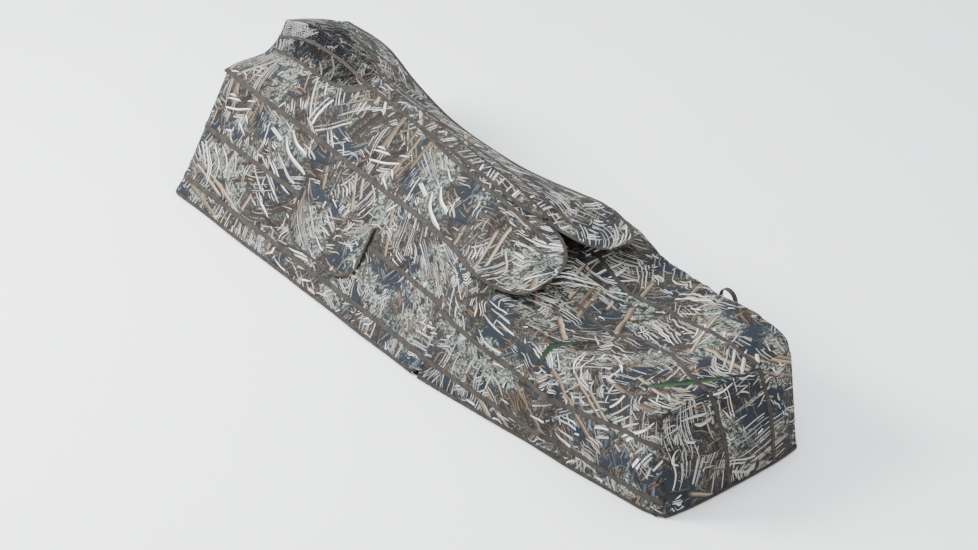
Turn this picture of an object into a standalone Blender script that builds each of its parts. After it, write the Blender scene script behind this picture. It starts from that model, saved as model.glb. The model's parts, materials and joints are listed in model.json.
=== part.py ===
"""Layout field blind: a low, fabric-covered ground blind on a folding tube frame.

The blind is two halves hinged at the hips. The head half carries a cockpit frame on four swing
legs, two lift-up doors with face mesh, and a reclining backrest. The foot half carries a small
arch over the boots. Units are metres. +Z is up, +Y runs to the head end, and the person's right
is -X. The origin is on the ground under the middle of the blind.
"""
import math

import bmesh
import bpy
from mathutils import Matrix, Vector

# ---- driving dimensions -------------------------------------------------------------------
FOOT_Y = -1.10            # outer end of the foot half on the ground
HEAD_Y = 1.10             # outer end of the head half on the ground
FOLD_Y = -0.16            # fold line between the halves
FOLD_Z = 0.16             # height of the fold pins
FOLD_GAP = 0.005          # each half stops this far from the fold line
HALF_WIDTH_FOOT = 0.270
HALF_WIDTH_FOLD = 0.405
HALF_WIDTH_HEAD = 0.425

TUBE_R = 0.011            # base frame tube
RAIL_R = 0.010            # cockpit frame and foot arch tube
LEG_R = 0.009
DOOR_TUBE_R = 0.005
BACK_TUBE_R = 0.008
TUBE_INSET = 0.027        # base tube centre inside the fabric's bottom edge
FLOOR_T = 0.004
COVER_T = 0.003
GAP = 0.0005              # running gap between touching pieces

DOOR_HINGE_X = 0.190
DOOR_HINGE_Z = 0.330
DOOR_EDGE_X = 0.188       # outer edge of a door cover
DOOR_SPLIT_X = 0.002      # inner edge of a door cover
DOOR_FOOT_Y = -0.32
DOOR_HEAD_Y = 1.03
DOOR_LOBE_Y = -0.45       # tip of the soft rounded door end

PLATE_T = 0.004           # bracket plate
HEAD_EAR_X = 0.3155       # inner faces of the fold ears
FOOT_EAR_X = 0.3110
EAR_PAST_PIN = 0.012
EAR_REACH = 0.045
PIN_R = 0.004             # fold pin

LINK_RUN = 0.255          # swing legs rise and run this far at rest
FRONT_PIVOT = (0.333, -0.080, 0.050)
FRONT_TOP_X = 0.197
REAR_PIVOT = (0.319, 0.600, 0.093)
REAR_TOP_X = 0.236
LEG_PLATE_OFFSET = 0.0145 # a leg's plate stands this far outside the leg's foot

FOOT_ARCH_Y = -0.985
FOOT_ARCH_PIVOT_Z = 0.030
BACK_PIVOT_Y = 0.360
BACK_PIVOT_Z = 0.040
BACK_LENGTH = 0.550
BACK_ANGLE = math.radians(27)
BACK_HALF = 0.150

# Shapes of the cover along Y. Each row is (y, half width or height ...).
SHOULDER = [(-1.05, 0.255, 0.335), (-1.00, 0.265, 0.355), (-0.90, 0.272, 0.357),
            (-0.80, 0.272, 0.345), (-0.68, 0.270, 0.328), (-0.55, 0.270, 0.330),
            (-0.42, 0.270, 0.345), (-0.25, 0.270, 0.370), (-0.15, 0.240, 0.372),
            (0.05, 0.207, 0.360), (0.25, 0.199, 0.352), (0.45, 0.199, 0.358),
            (0.65, 0.215, 0.385), (0.85, 0.243, 0.415), (1.05, 0.235, 0.415)]
RIDGE = [(-0.45, 0.405), (-0.30, 0.445), (-0.18, 0.475), (0.00, 0.497), (0.28, 0.516),
         (0.56, 0.534), (0.74, 0.560), (0.88, 0.560), (1.05, 0.505)]
FOOT_TOP = [(-1.05, 0.335), (-0.98, 0.357), (-0.88, 0.345), (-0.78, 0.318), (-0.68, 0.305),
            (-0.55, 0.315), (-0.42, 0.350), (-0.25, 0.420), (-0.17, 0.425)]
HEAD_DIP = [(0.68, 0.0), (0.85, 0.24), (1.03, 0.42)]     # how far the right door dips there

HEAD_BASE_END = 1.0945    # head end of the side walls on the ground
HEAD_TOP_END = 1.0435     # and at the shoulder
FOOT_BASE_END = -1.0925
FOOT_TOP_END = -1.0485
HEAD_WALL_STEPS = 22
FOOT_WALL_STEPS = 18
WALL_STEPS = 6            # grid steps from the ground to the shoulder
PORT_ROWS = (8, 12)       # the flag port's place in that grid
PORT_COLUMNS = (2, 4)
FLAP_LIFT = 0.0045        # the flap lies this far outside the wall

COLOURS = {
    "camo": ((0.36, 0.34, 0.29), 0.90, 0.0),
    "tube": ((0.03, 0.03, 0.03), 0.45, 0.6),
    "floor": ((0.02, 0.02, 0.02), 0.70, 0.0),
    "mesh": ((0.16, 0.17, 0.15), 0.95, 0.0),
    "webbing": ((0.17, 0.14, 0.11), 0.90, 0.0),
    "pad": ((0.05, 0.05, 0.05), 0.90, 0.0),
    "steel": ((0.45, 0.45, 0.46), 0.35, 1.0),
    "plastic": ((0.02, 0.02, 0.02), 0.50, 0.0),
}
SIDES = (("right", -1.0), ("left", 1.0))


# ---- small helpers ------------------------------------------------------------------------
def clear_scene():
    for item in list(bpy.data.objects):
        bpy.data.objects.remove(item, do_unlink=True)


def material_for(node, kind):
    """A material of the node's own, in the colour of its kind."""
    colour, roughness, metallic = COLOURS[kind]
    made = bpy.data.materials.new(node + "_" + kind)
    made.use_nodes = True
    shader = made.node_tree.nodes["Principled BSDF"]
    shader.inputs["Base Color"].default_value = (*colour, 1.0)
    shader.inputs["Roughness"].default_value = roughness
    shader.inputs["Metallic"].default_value = metallic
    return made


def add_object(node, data, kind, parent=None):
    item = bpy.data.objects.new(node, data)
    bpy.context.collection.objects.link(item)
    data.materials.append(material_for(node, kind))
    if parent is not None:
        item.parent = parent
        item.matrix_parent_inverse = parent.matrix_world.inverted()
    return item


def pivot(name, location):
    """An empty on a joint's axis. The pieces that turn with the joint are its children."""
    empty = bpy.data.objects.new(name, None)
    bpy.context.collection.objects.link(empty)
    empty.location = location
    bpy.context.view_layer.update()
    return empty


def along(rows, y):
    """Smooth interpolation of a table of (y, value, ...) rows, as a list of values."""
    if y <= rows[0][0]:
        return list(rows[0][1:])
    if y >= rows[-1][0]:
        return list(rows[-1][1:])
    i = max(k for k in range(len(rows) - 1) if rows[k][0] <= y)
    before = rows[max(i - 1, 0)]
    low, high = rows[i], rows[i + 1]
    after = rows[min(i + 2, len(rows) - 1)]
    span = high[0] - low[0]
    t = (y - low[0]) / span
    values = []
    for k in range(1, len(low)):
        slope_low = (high[k] - before[k]) / (high[0] - before[0]) * span
        slope_high = (after[k] - low[k]) / (after[0] - low[0]) * span
        values.append((2 * t**3 - 3 * t**2 + 1) * low[k] + (t**3 - 2 * t**2 + t) * slope_low
                      + (3 * t**2 - 2 * t**3) * high[k] + (t**3 - t**2) * slope_high)
    return values


def half_width(y):
    """Half width of the blind on the ground."""
    if y < FOLD_Y:
        share = (y - FOOT_Y) / (FOLD_Y - FOOT_Y)
        return HALF_WIDTH_FOOT + share * (HALF_WIDTH_FOLD - HALF_WIDTH_FOOT)
    share = (y - FOLD_Y) / (HEAD_Y - FOLD_Y)
    return HALF_WIDTH_FOLD + share * (HALF_WIDTH_HEAD - HALF_WIDTH_FOLD)


def door_height(x, y):
    """Height of the door surface at x. The right door dips beside the ridge near the head."""
    shoulder_x, shoulder_z = along(SHOULDER, y)
    ridge_z = along(RIDGE, y)[0]
    share = 1.0 - min(abs(x) / shoulder_x, 1.0)
    crown = 0.010 * math.sin(math.pi * share)
    dip = along(HEAD_DIP, y)[0] * share**2 * (1.0 - share) if x < 0.0 else 0.0
    return shoulder_z + (ridge_z - shoulder_z) * share + crown - dip


def foot_top_height(x, y):
    shoulder_x, shoulder_z = along(SHOULDER, y)
    middle_z = along(FOOT_TOP, y)[0]
    share = 1.0 - min(abs(x) / shoulder_x, 1.0)
    return shoulder_z + (middle_z - shoulder_z) * share * (1.35 - 0.35 * share)


def rounded_path(corners, radius, steps=4):
    """An open polyline with each inner corner replaced by a short curve."""
    points = []
    count = len(corners)
    for i, corner in enumerate(corners):
        corner = Vector(corner)
        if i in (0, count - 1):
            points.append(corner)
            continue
        before = Vector(corners[i - 1])
        after = Vector(corners[i + 1])
        reach_in = min(radius, (before - corner).length * 0.45)
        reach_out = min(radius, (after - corner).length * 0.45)
        start = corner + (before - corner).normalized() * reach_in
        end = corner + (after - corner).normalized() * reach_out
        for k in range(steps + 1):
            t = k / steps
            points.append((1 - t)**2 * start + 2 * t * (1 - t) * corner + t**2 * end)
    return points


def tube(node, points, radius, kind, parent=None, closed=False, resolution=2):
    curve = bpy.data.curves.new(node, "CURVE")
    curve.dimensions = "3D"
    curve.bevel_depth = radius
    curve.bevel_resolution = resolution
    curve.use_fill_caps = True
    spline = curve.splines.new("POLY")
    spline.points.add(len(points) - 1)
    for point, place in zip(spline.points, points):
        point.co = (*place, 1.0)
    spline.use_cyclic_u = closed
    spline.use_smooth = True
    return add_object(node, curve, kind, parent)


def mesh_object(node, verts, faces, kind, parent=None):
    mesh = bpy.data.meshes.new(node)
    mesh.from_pydata([tuple(v) for v in verts], [], faces)
    mesh.update()
    shaped = bmesh.new()
    shaped.from_mesh(mesh)
    bmesh.ops.remove_doubles(shaped, verts=shaped.verts, dist=1e-6)
    shaped.to_mesh(mesh)
    shaped.free()
    return add_object(node, mesh, kind, parent)


def sheet(node, rows, kind, parent=None, skip=None, thickness=COVER_T, flip=False):
    """A thin closed panel. rows is a grid of points on its outer face; skip cuts an opening."""
    width = len(rows[0])
    verts = [point for row in rows for point in row]
    faces = []
    for i in range(len(rows) - 1):
        for j in range(width - 1):
            if skip is not None and skip(i, j):
                continue
            corner = i * width + j
            face = (corner, corner + 1, corner + width + 1, corner + width)
            faces.append(face[::-1] if flip else face)
    item = mesh_object(node, verts, faces, kind, parent)
    shell = item.modifiers.new("thickness", "SOLIDIFY")
    shell.thickness = thickness
    shell.offset = -1.0
    shell.use_even_offset = True
    trimmed = bmesh.new()
    trimmed.from_mesh(item.data)
    spare = [v for v in trimmed.verts if not v.link_faces]
    bmesh.ops.delete(trimmed, geom=spare, context="VERTS")
    trimmed.to_mesh(item.data)
    trimmed.free()
    return item


def block(node, low, high, kind, parent=None, bevel=0.0):
    mesh = bpy.data.meshes.new(node)
    shaped = bmesh.new()
    bmesh.ops.create_cube(shaped, size=1.0)
    size = Vector(high) - Vector(low)
    middle = (Vector(high) + Vector(low)) / 2
    bmesh.ops.scale(shaped, vec=size, verts=shaped.verts)
    bmesh.ops.translate(shaped, vec=middle, verts=shaped.verts)
    shaped.to_mesh(mesh)
    shaped.free()
    item = add_object(node, mesh, kind, parent)
    if bevel:
        edge = item.modifiers.new("edge", "BEVEL")
        edge.width = bevel
        edge.segments = 2
        edge.limit_method = "ANGLE"
    return item


def slab(node, outline, z_low, z_high, kind, parent=None):
    """A flat plate with the given outline in X and Y."""
    verts = [(x, y, z_low) for x, y in outline] + [(x, y, z_high) for x, y in outline]
    count = len(outline)
    faces = [tuple(range(count))[::-1], tuple(range(count, 2 * count))]
    faces += [(i, (i + 1) % count, count + (i + 1) % count, count + i) for i in range(count)]
    return mesh_object(node, verts, faces, kind, parent)


def cylinder_x(node, x_low, x_high, y, z, radius, kind, parent=None, sides=16):
    """A round pin along X."""
    mesh = bpy.data.meshes.new(node)
    shaped = bmesh.new()
    turn = Matrix.Rotation(math.pi / 2, 4, "Y")
    place = Matrix.Translation(((x_low + x_high) / 2, y, z))
    bmesh.ops.create_cone(shaped, cap_ends=True, segments=sides, radius1=radius,
                          radius2=radius, depth=abs(x_high - x_low), matrix=place @ turn)
    shaped.to_mesh(mesh)
    shaped.free()
    return add_object(node, mesh, kind, parent)


def drill(item, y, z, radius):
    """Bore a hole along X through a plate."""
    cutter = cylinder_x(item.name + "_cutter", -1.0, 1.0, y, z, radius, "steel", sides=20)
    cutter.hide_render = True
    cutter.display_type = "WIRE"
    hole = item.modifiers.new("hole", "BOOLEAN")
    hole.operation = "DIFFERENCE"
    hole.solver = "EXACT"
    hole.object = cutter


def l_bracket(node, side, plate_x, y_low, y_high, z_top, parent=None):
    """An upright plate with a tab at its foot that reaches the base tube."""
    tube_x = min(base_tube_x(y_low), base_tube_x(y_high)) - TUBE_R - 2 * GAP
    foot_low, foot_high = 0.0120, 0.0170
    outline = [(plate_x, foot_low), (tube_x, foot_low), (tube_x, foot_high),
               (plate_x + PLATE_T, foot_high), (plate_x + PLATE_T, z_top), (plate_x, z_top)]
    if side > 0:
        outline = outline[::-1]
    count = len(outline)
    verts = [(side * x, y_low, z) for x, z in outline]
    verts += [(side * x, y_high, z) for x, z in outline]
    faces = [tuple(range(count))[::-1], tuple(range(count, 2 * count))]
    faces += [(i, (i + 1) % count, count + (i + 1) % count, count + i) for i in range(count)]
    return mesh_object(node, verts, faces, "steel", parent)


def span(low, high, steps):
    return [low + (high - low) * k / steps for k in range(steps + 1)]


# ---- head half ----------------------------------------------------------------------------
def base_tube_x(y):
    return half_width(y) - TUBE_INSET


def build_head_base():
    start_y = FOLD_Y + FOLD_GAP
    end_y = HEAD_Y - TUBE_INSET - 0.012
    tube_z = FLOOR_T + GAP + TUBE_R
    corners = [(-base_tube_x(start_y), start_y, tube_z), (-base_tube_x(end_y), end_y, tube_z),
               (base_tube_x(end_y), end_y, tube_z), (base_tube_x(start_y), start_y, tube_z)]
    tube("head_base_frame", rounded_path(corners, 0.06), TUBE_R, "tube")
    outline = [(-half_width(start_y) + 0.006, start_y), (half_width(start_y) - 0.006, start_y),
               (HALF_WIDTH_HEAD - 0.006, HEAD_Y - 0.012), (0.006 - HALF_WIDTH_HEAD, HEAD_Y - 0.012)]
    slab("head_floor", outline, 0.0, FLOOR_T, "floor")
    for name, side in SIDES:
        l_bracket("fold_bracket_head_" + name, side, HEAD_EAR_X, FOLD_Y + 0.010, FOLD_Y + 0.045,
                  0.145)
        cylinder_x("fold_pin_" + name, side * (FOOT_EAR_X - 0.0025),
                   side * (HEAD_EAR_X + PLATE_T + 0.002), FOLD_Y, FOLD_Z, PIN_R, "steel")
        for label, place, inward in (("front", FRONT_PIVOT, 0.020), ("rear", REAR_PIVOT, 0.022)):
            l_bracket(label + "_leg_bracket_" + name, side, place[0] + LEG_PLATE_OFFSET,
                      place[1] - inward, place[1] + 0.022, place[2] + 0.016)
    reach = base_tube_x(BACK_PIVOT_Y) - TUBE_R - 4 * GAP
    cross = [(-reach, BACK_PIVOT_Y - 0.030, tube_z), (reach, BACK_PIVOT_Y - 0.030, tube_z)]
    tube("backrest_cross_tube", cross, TUBE_R * 0.8, "tube")
    block("seat_pad", (-0.17, -0.11, FLOOR_T + GAP), (0.17, 0.30, 0.033), "pad", bevel=0.010)


def wall_point(side, base_y, top_y, share, lift=0.0):
    """A point on a sloping side wall: share 0 is on the ground and 1 at the shoulder."""
    shoulder_x, shoulder_z = along(SHOULDER, top_y)
    low = Vector((side * half_width(base_y), base_y, COVER_T))
    high = Vector((side * shoulder_x, top_y, shoulder_z))
    up = high - low
    outward = Vector((side * up.z, 0.0, -side * up.x)).normalized()
    return low + up * share + outward * lift


def wall_ends(place, near_y, base_y, top_y):
    """The ground and shoulder positions along Y at a place from 0 to 1 along a side wall."""
    return near_y + (base_y - near_y) * place, near_y + (top_y - near_y) * place


def wall_rows(side, near_y, base_y, top_y, steps, inner_x=None):
    """Points of a side panel, up the wall and, with inner_x, over the shoulder to that edge."""
    rows = []
    for place in span(0.0, 1.0, steps):
        low_y, high_y = wall_ends(place, near_y, base_y, top_y)
        row = [wall_point(side, low_y, high_y, share) for share in span(0.0, 1.0, WALL_STEPS)]
        shoulder_x, shoulder_z = along(SHOULDER, high_y)
        if inner_x is not None and shoulder_x > inner_x + 0.004:
            for x in ((shoulder_x + inner_x) / 2, inner_x):
                row.append((side * x, high_y, door_height(side * x, high_y)))
        elif inner_x is not None:
            for shift in (0.0012, 0.0024):
                row.append((side * (shoulder_x - shift), high_y, shoulder_z + shift / 2))
        rows.append(row)
    return rows


def build_head_covers():
    near_y = FOLD_Y + FOLD_GAP

    def port(i, j):
        return PORT_ROWS[0] <= i < PORT_ROWS[1] and PORT_COLUMNS[0] <= j < PORT_COLUMNS[1]

    for name, side in SIDES:
        rows = wall_rows(side, near_y, HEAD_BASE_END, HEAD_TOP_END, HEAD_WALL_STEPS,
                         DOOR_EDGE_X + 0.008)
        sheet("head_side_" + name, rows, "camo", skip=port, flip=side > 0)
        build_flap(name, side, near_y)
    rows = []
    for t in span(0.0, 1.0, 5):
        y = HEAD_BASE_END + 0.0045 - (HEAD_BASE_END - HEAD_TOP_END - 0.004) * t
        z = COVER_T + (0.412 - COVER_T) * t
        reach = HALF_WIDTH_HEAD - 0.003 + (0.232 - HALF_WIDTH_HEAD) * t
        rows.append([(x, y, z) for x in span(-reach, reach, 10)])
    sheet("head_end_panel", rows, "camo", flip=True)


def build_flap(name, side, near_y):
    """A flap that covers the flag port from outside, hinged along its top edge."""
    steps = 8
    low, high = (PORT_COLUMNS[0] - 0.6) / WALL_STEPS, (PORT_COLUMNS[1] + 0.35) / WALL_STEPS
    places = span((PORT_ROWS[0] - 1) / HEAD_WALL_STEPS, (PORT_ROWS[1] + 1) / HEAD_WALL_STEPS,
                  steps)
    grid = []
    for k, place in enumerate(places):
        trim = (0.092, 0.030, 0.0)[min(k, steps - k, 2)]
        low_y, high_y = wall_ends(place, near_y, HEAD_BASE_END, HEAD_TOP_END)
        grid.append([wall_point(side, low_y, high_y, share, FLAP_LIFT)
                     for share in span(low + trim, high, 3)])
    hinge = pivot("flag_flap_pivot_" + name, (grid[0][-1] + grid[-1][-1]) / 2)
    sheet("flag_port_flap_" + name, grid, "camo", hinge, flip=side > 0, thickness=0.0025)


# ---- cockpit frame ------------------------------------------------------------------------
def build_legs():
    front = pivot("front_legs_pivot", (0.0, FRONT_PIVOT[1], FRONT_PIVOT[2]))
    rear = pivot("rear_legs_pivot", (0.0, REAR_PIVOT[1], REAR_PIVOT[2]))
    for name, side in SIDES:
        for label, foot, top_x, parent in (("front", FRONT_PIVOT, FRONT_TOP_X, front),
                                           ("rear", REAR_PIVOT, REAR_TOP_X, rear)):
            low = Vector((side * foot[0], foot[1], foot[2]))
            high = Vector((side * top_x, foot[1] + LINK_RUN, foot[2] + LINK_RUN))
            run = (high - low).normalized()
            tube(label + "_leg_" + name, [low - run * 0.012, high + run * 0.010], LEG_R, "tube",
                 parent)


def build_cockpit():
    cockpit = pivot("cockpit_pivot", (0.0, REAR_PIVOT[1] + LINK_RUN, REAR_PIVOT[2] + LINK_RUN))
    for name, side in SIDES:
        corners = [(0.240, -0.235, 0.340), (0.212, -0.100, 0.334), (0.190, 0.020, 0.330),
                   (0.190, 0.580, 0.330), (0.212, 0.760, 0.357), (0.232, 0.900, 0.385),
                   (0.220, 1.030, 0.392)]
        path = rounded_path([(side * x, y, z) for x, y, z in corners], 0.06, steps=3)
        tube("side_rail_" + name, path, RAIL_R, "tube", cockpit)
        cap = tube("rail_cap_" + name,
                   [(side * 0.220, 1.0326, 0.392), (side * 0.220, 1.0460, 0.392)], 0.0125,
                   "plastic", cockpit)
        cap.data.bevel_resolution = 3
        build_spring(name, side, cockpit)
    half_bow = [(0.190, -0.250, 0.364), (0.100, -0.250, 0.391), (0.0, -0.250, 0.404)]
    bow = [(0.240, -0.2475, 0.337)] + half_bow
    bow += [(-x, y, z) for x, y, z in bow[-2::-1]]
    tube("hip_bow", rounded_path(bow, 0.05, steps=3), RAIL_R, "tube", cockpit)
    bar = [(-0.2090, 1.012, 0.392), (0.2090, 1.012, 0.392)]
    tube("head_crossbar", bar, RAIL_R * 0.9, "tube", cockpit)


def build_spring(name, side, parent):
    """A torsion spring round the rail that helps the door up."""
    turns, radius, wire, steps = 5, 0.0130, 0.0014, 12
    pitch = 0.0036
    start_y = 0.480
    path = []
    for k in range(turns * steps + 1):
        angle = side * 2 * math.pi * k / steps
        path.append((side * DOOR_HINGE_X + radius * math.cos(angle),
                     start_y + pitch * k / steps, DOOR_HINGE_Z + radius * math.sin(angle)))
    tube("door_spring_" + name, path, wire, "steel", parent, resolution=1)


# ---- doors --------------------------------------------------------------------------------
DOOR_STEPS = 26
GABLE_Z = 0.418            # lower edge of the door's short wall at the head end
WINDOW_ROWS = (18, 25)
WINDOW_COLUMNS = (4, 7)


def door_grid(side):
    grid = []
    for y in span(DOOR_FOOT_Y, DOOR_HEAD_Y, DOOR_STEPS):
        grid.append([(side * x, y, door_height(side * x, y))
                     for x in span(DOOR_EDGE_X, DOOR_SPLIT_X, 8)])
    edge = grid[-1]
    for forward, share in ((0.014, 0.55), (0.018, 0.0)):
        grid.append([(x, y + forward, GABLE_Z + (z - GABLE_Z) * share) for x, y, z in edge])
    return grid


def build_doors():
    for name, side in SIDES:
        hinge = pivot("door_pivot_" + name, (side * DOOR_HINGE_X, 0.0, DOOR_HINGE_Z))
        grid = door_grid(side)

        def window(i, j):
            return (WINDOW_ROWS[0] <= i < WINDOW_ROWS[1]
                    and WINDOW_COLUMNS[0] <= j < WINDOW_COLUMNS[1])

        sheet("door_cover_" + name, grid, "camo", hinge, skip=window, flip=side > 0)
        build_face_mesh(name, side, grid, hinge)
        build_door_frame(name, side, hinge)
        build_door_lobe(name, side, hinge)
        for label, y in (("front", 0.140), ("rear", 0.440)):
            build_hinge_clip("door_hinge_" + label + "_" + name, side, y, hinge)


def build_face_mesh(name, side, grid, hinge):
    """The see-through panel that fills the opening in a door cover."""
    y_low = grid[WINDOW_ROWS[0]][0][1] + GAP
    y_high = grid[WINDOW_ROWS[1]][0][1] - GAP
    x_high = abs(grid[0][WINDOW_COLUMNS[0]][0]) - GAP
    x_low = abs(grid[0][WINDOW_COLUMNS[1]][0]) + GAP
    rows = []
    for y in span(y_low, y_high, WINDOW_ROWS[1] - WINDOW_ROWS[0]):
        rows.append([(side * x, y, door_height(side * x, y) - 0.0005)
                     for x in span(x_high, x_low, WINDOW_COLUMNS[1] - WINDOW_COLUMNS[0])])
    sheet("face_mesh_" + name, rows, "mesh", hinge, flip=side > 0, thickness=0.0015)


def hoop_height(x, y):
    """Height of the door hoop's centre, deeper where the cover above it is steep."""
    reach = 0.005
    slope = (door_height(x + reach, y) - door_height(x - reach, y)) / (2 * reach)
    drop = COVER_T + DOOR_TUBE_R + 0.0042
    return door_height(x, y) - drop * math.sqrt(1.0 + slope**2)


def build_door_frame(name, side, hinge):
    """The wire hoop that stiffens one door, just under its cover."""
    outer, inner = 0.168, 0.020
    plan = [(outer, y) for y in span(-0.22, 0.925, 16)]
    plan += [(0.150, 0.968), (0.110, 0.982), (0.065, 0.982), (0.032, 0.968)]
    plan += [(inner, y) for y in span(0.925, -0.22, 16)]
    plan += [(0.034, -0.272), (0.070, -0.300), (0.118, -0.300), (0.154, -0.272)]
    path = [(side * x, y, hoop_height(side * x, y)) for x, y in plan]
    tube("door_frame_" + name, path, DOOR_TUBE_R, "tube", hinge, closed=True)


def build_door_lobe(name, side, hinge):
    """The soft rounded end of the door cover, which hangs past its frame over the thighs."""
    rows = []
    reach = DOOR_FOOT_Y - GAP - DOOR_LOBE_Y
    middle, half = 0.5 * (DOOR_EDGE_X + DOOR_SPLIT_X), 0.5 * (DOOR_EDGE_X - DOOR_SPLIT_X)
    for t in span(0.0, 1.0, 6):
        y = DOOR_FOOT_Y - GAP - reach * math.sin(math.pi / 2 * t) * 0.98
        width = half * max(math.cos(math.pi / 2 * t * 0.94), 0.12)
        rows.append([(side * x, y, door_height(side * x, y))
                     for x in span(middle + width, middle - width, 6)])
    sheet("door_end_" + name, rows, "camo", hinge, flip=side < 0)


def build_hinge_clip(node, side, y, hinge):
    """A sleeve round the rail with a tab that reaches up to the door frame."""
    inner, outer, half = RAIL_R + 0.0004, RAIL_R + 0.0028, 0.012
    ring = [(math.cos(a), math.sin(a)) for a in [2 * math.pi * k / 20 for k in range(20)]]
    centre_x, centre_z = side * DOOR_HINGE_X, DOOR_HINGE_Z
    verts = []
    for radius, y_at in ((outer, y - half), (outer, y + half), (inner, y + half),
                         (inner, y - half)):
        verts += [(centre_x + radius * c, y_at, centre_z + radius * s) for c, s in ring]
    count = len(ring)
    faces = []
    for loop in range(4):
        nxt = (loop + 1) % 4
        for k in range(count):
            after = (k + 1) % count
            faces.append((loop * count + k, loop * count + after,
                          nxt * count + after, nxt * count + k))
    item = mesh_object(node, verts, faces, "plastic", hinge)
    shaped = bmesh.new()
    shaped.from_mesh(item.data)
    bmesh.ops.recalc_face_normals(shaped, faces=shaped.faces)
    shaped.to_mesh(item.data)
    shaped.free()
    return item


# ---- backrest -----------------------------------------------------------------------------
def back_point(x, distance, lift):
    """A point on the backrest: distance up its slope and lift off its plane."""
    c, s = math.cos(BACK_ANGLE), math.sin(BACK_ANGLE)
    return (x, BACK_PIVOT_Y + distance * c - lift * s, BACK_PIVOT_Z + distance * s + lift * c)


def build_backrest():
    fold = pivot("backrest_fold_pivot", (0.0, BACK_PIVOT_Y, BACK_PIVOT_Z))
    recline = pivot("backrest_pivot", (0.0, BACK_PIVOT_Y, BACK_PIVOT_Z))
    bar = [(-BACK_HALF - 0.030, BACK_PIVOT_Y, BACK_PIVOT_Z),
           (BACK_HALF + 0.030, BACK_PIVOT_Y, BACK_PIVOT_Z)]
    tube("backrest_pivot_bar", bar, 0.006, "steel", fold)
    corners = [back_point(-BACK_HALF, 0.016, 0.0), back_point(-BACK_HALF, BACK_LENGTH, 0.0),
               back_point(BACK_HALF, BACK_LENGTH, 0.0), back_point(BACK_HALF, 0.016, 0.0)]
    tube("backrest_frame", rounded_path(corners, 0.05), BACK_TUBE_R, "tube", recline)
    pad("back_pad", 0.130, 0.030, 0.500, 0.0088, 0.0320, recline)
    pad("head_pillow", 0.120, 0.400, 0.520, 0.0326, 0.0780, recline)


def pad(node, half, start, end, low, high, parent):
    """A soft block lying on the backrest."""
    corners = [(x, d, h) for h in (low, high) for x, d in
               ((-half, start), (half, start), (half, end), (-half, end))]
    verts = [back_point(x, d, h) for x, d, h in corners]
    faces = [(3, 2, 1, 0), (4, 5, 6, 7), (0, 1, 5, 4), (1, 2, 6, 5), (2, 3, 7, 6), (3, 0, 4, 7)]
    item = mesh_object(node, verts, faces, "pad", parent)
    edge = item.modifiers.new("edge", "BEVEL")
    edge.width = min(0.010, (high - low) * 0.42)
    edge.segments = 2
    edge.limit_method = "ANGLE"
    return item


# ---- foot half ----------------------------------------------------------------------------
def build_foot_base():
    foot = pivot("foot_base_pivot", (0.0, FOLD_Y, FOLD_Z))
    start_y = FOLD_Y - FOLD_GAP
    end_y = FOOT_Y + TUBE_INSET + 0.016
    tube_z = FLOOR_T + GAP + TUBE_R
    corners = [(-base_tube_x(start_y), start_y, tube_z), (-base_tube_x(end_y), end_y, tube_z),
               (base_tube_x(end_y), end_y, tube_z), (base_tube_x(start_y), start_y, tube_z)]
    tube("foot_base_frame", rounded_path(corners, 0.05), TUBE_R, "tube", foot)
    outline = [(-HALF_WIDTH_FOOT + 0.006, FOOT_Y + 0.022), (HALF_WIDTH_FOOT - 0.006, FOOT_Y + 0.022),
               (half_width(start_y) - 0.006, start_y), (0.006 - half_width(start_y), start_y)]
    slab("foot_floor", outline, 0.0, FLOOR_T, "floor", foot)
    block("boot_mat", (-0.19, -1.00, FLOOR_T + GAP), (0.19, -0.66, 0.014), "pad", foot,
          bevel=0.003)
    for name, side in SIDES:
        l_bracket("fold_bracket_foot_" + name, side, FOOT_EAR_X, FOLD_Y - 0.045, FOLD_Y - 0.010,
                  0.145, foot)
        low_x, high_x = sorted((side * 0.2432, side * 0.2455))
        block("foot_arch_bracket_" + name, (low_x, FOOT_ARCH_Y - 0.012, 0.006),
              (high_x, FOOT_ARCH_Y + 0.012, 0.046), "steel", foot)
    build_foot_covers(foot)
    build_foot_arch(foot)


def build_foot_covers(foot):
    for name, side in SIDES:
        rows = wall_rows(side, FOLD_Y - FOLD_GAP, FOOT_BASE_END, FOOT_TOP_END, FOOT_WALL_STEPS)
        sheet("foot_side_" + name, rows, "camo", foot, flip=side < 0)
    rows = []
    for y in span(-1.050, -0.172, 18):
        reach = along(SHOULDER, y)[0] - 0.0045
        rows.append([(x, y, foot_top_height(x, y)) for x in span(-reach, reach, 12)])
    sheet("foot_top", rows, "camo", foot, flip=False)
    rows = []
    for t in span(0.0, 1.0, 5):
        bulge = 0.010 * math.sin(math.pi * t)
        y = FOOT_Y + 0.002 + (0.044) * t**1.3 - bulge * 0.5
        z = 0.001 + (0.331 - 0.001) * t
        reach = HALF_WIDTH_FOOT - 0.001 + (0.2520 - HALF_WIDTH_FOOT) * t
        rows.append([(x, y, z) for x in span(-reach, reach, 8)])
    sheet("foot_end_panel", rows, "camo", foot, flip=False)
    handle = [(0.2950, -0.700, 0.262), (0.3000, -0.700, 0.330), (0.3000, -0.765, 0.330),
              (0.2950, -0.765, 0.262)]
    tube("foot_handle", rounded_path(handle, 0.022), 0.0035, "webbing", foot)


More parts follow.
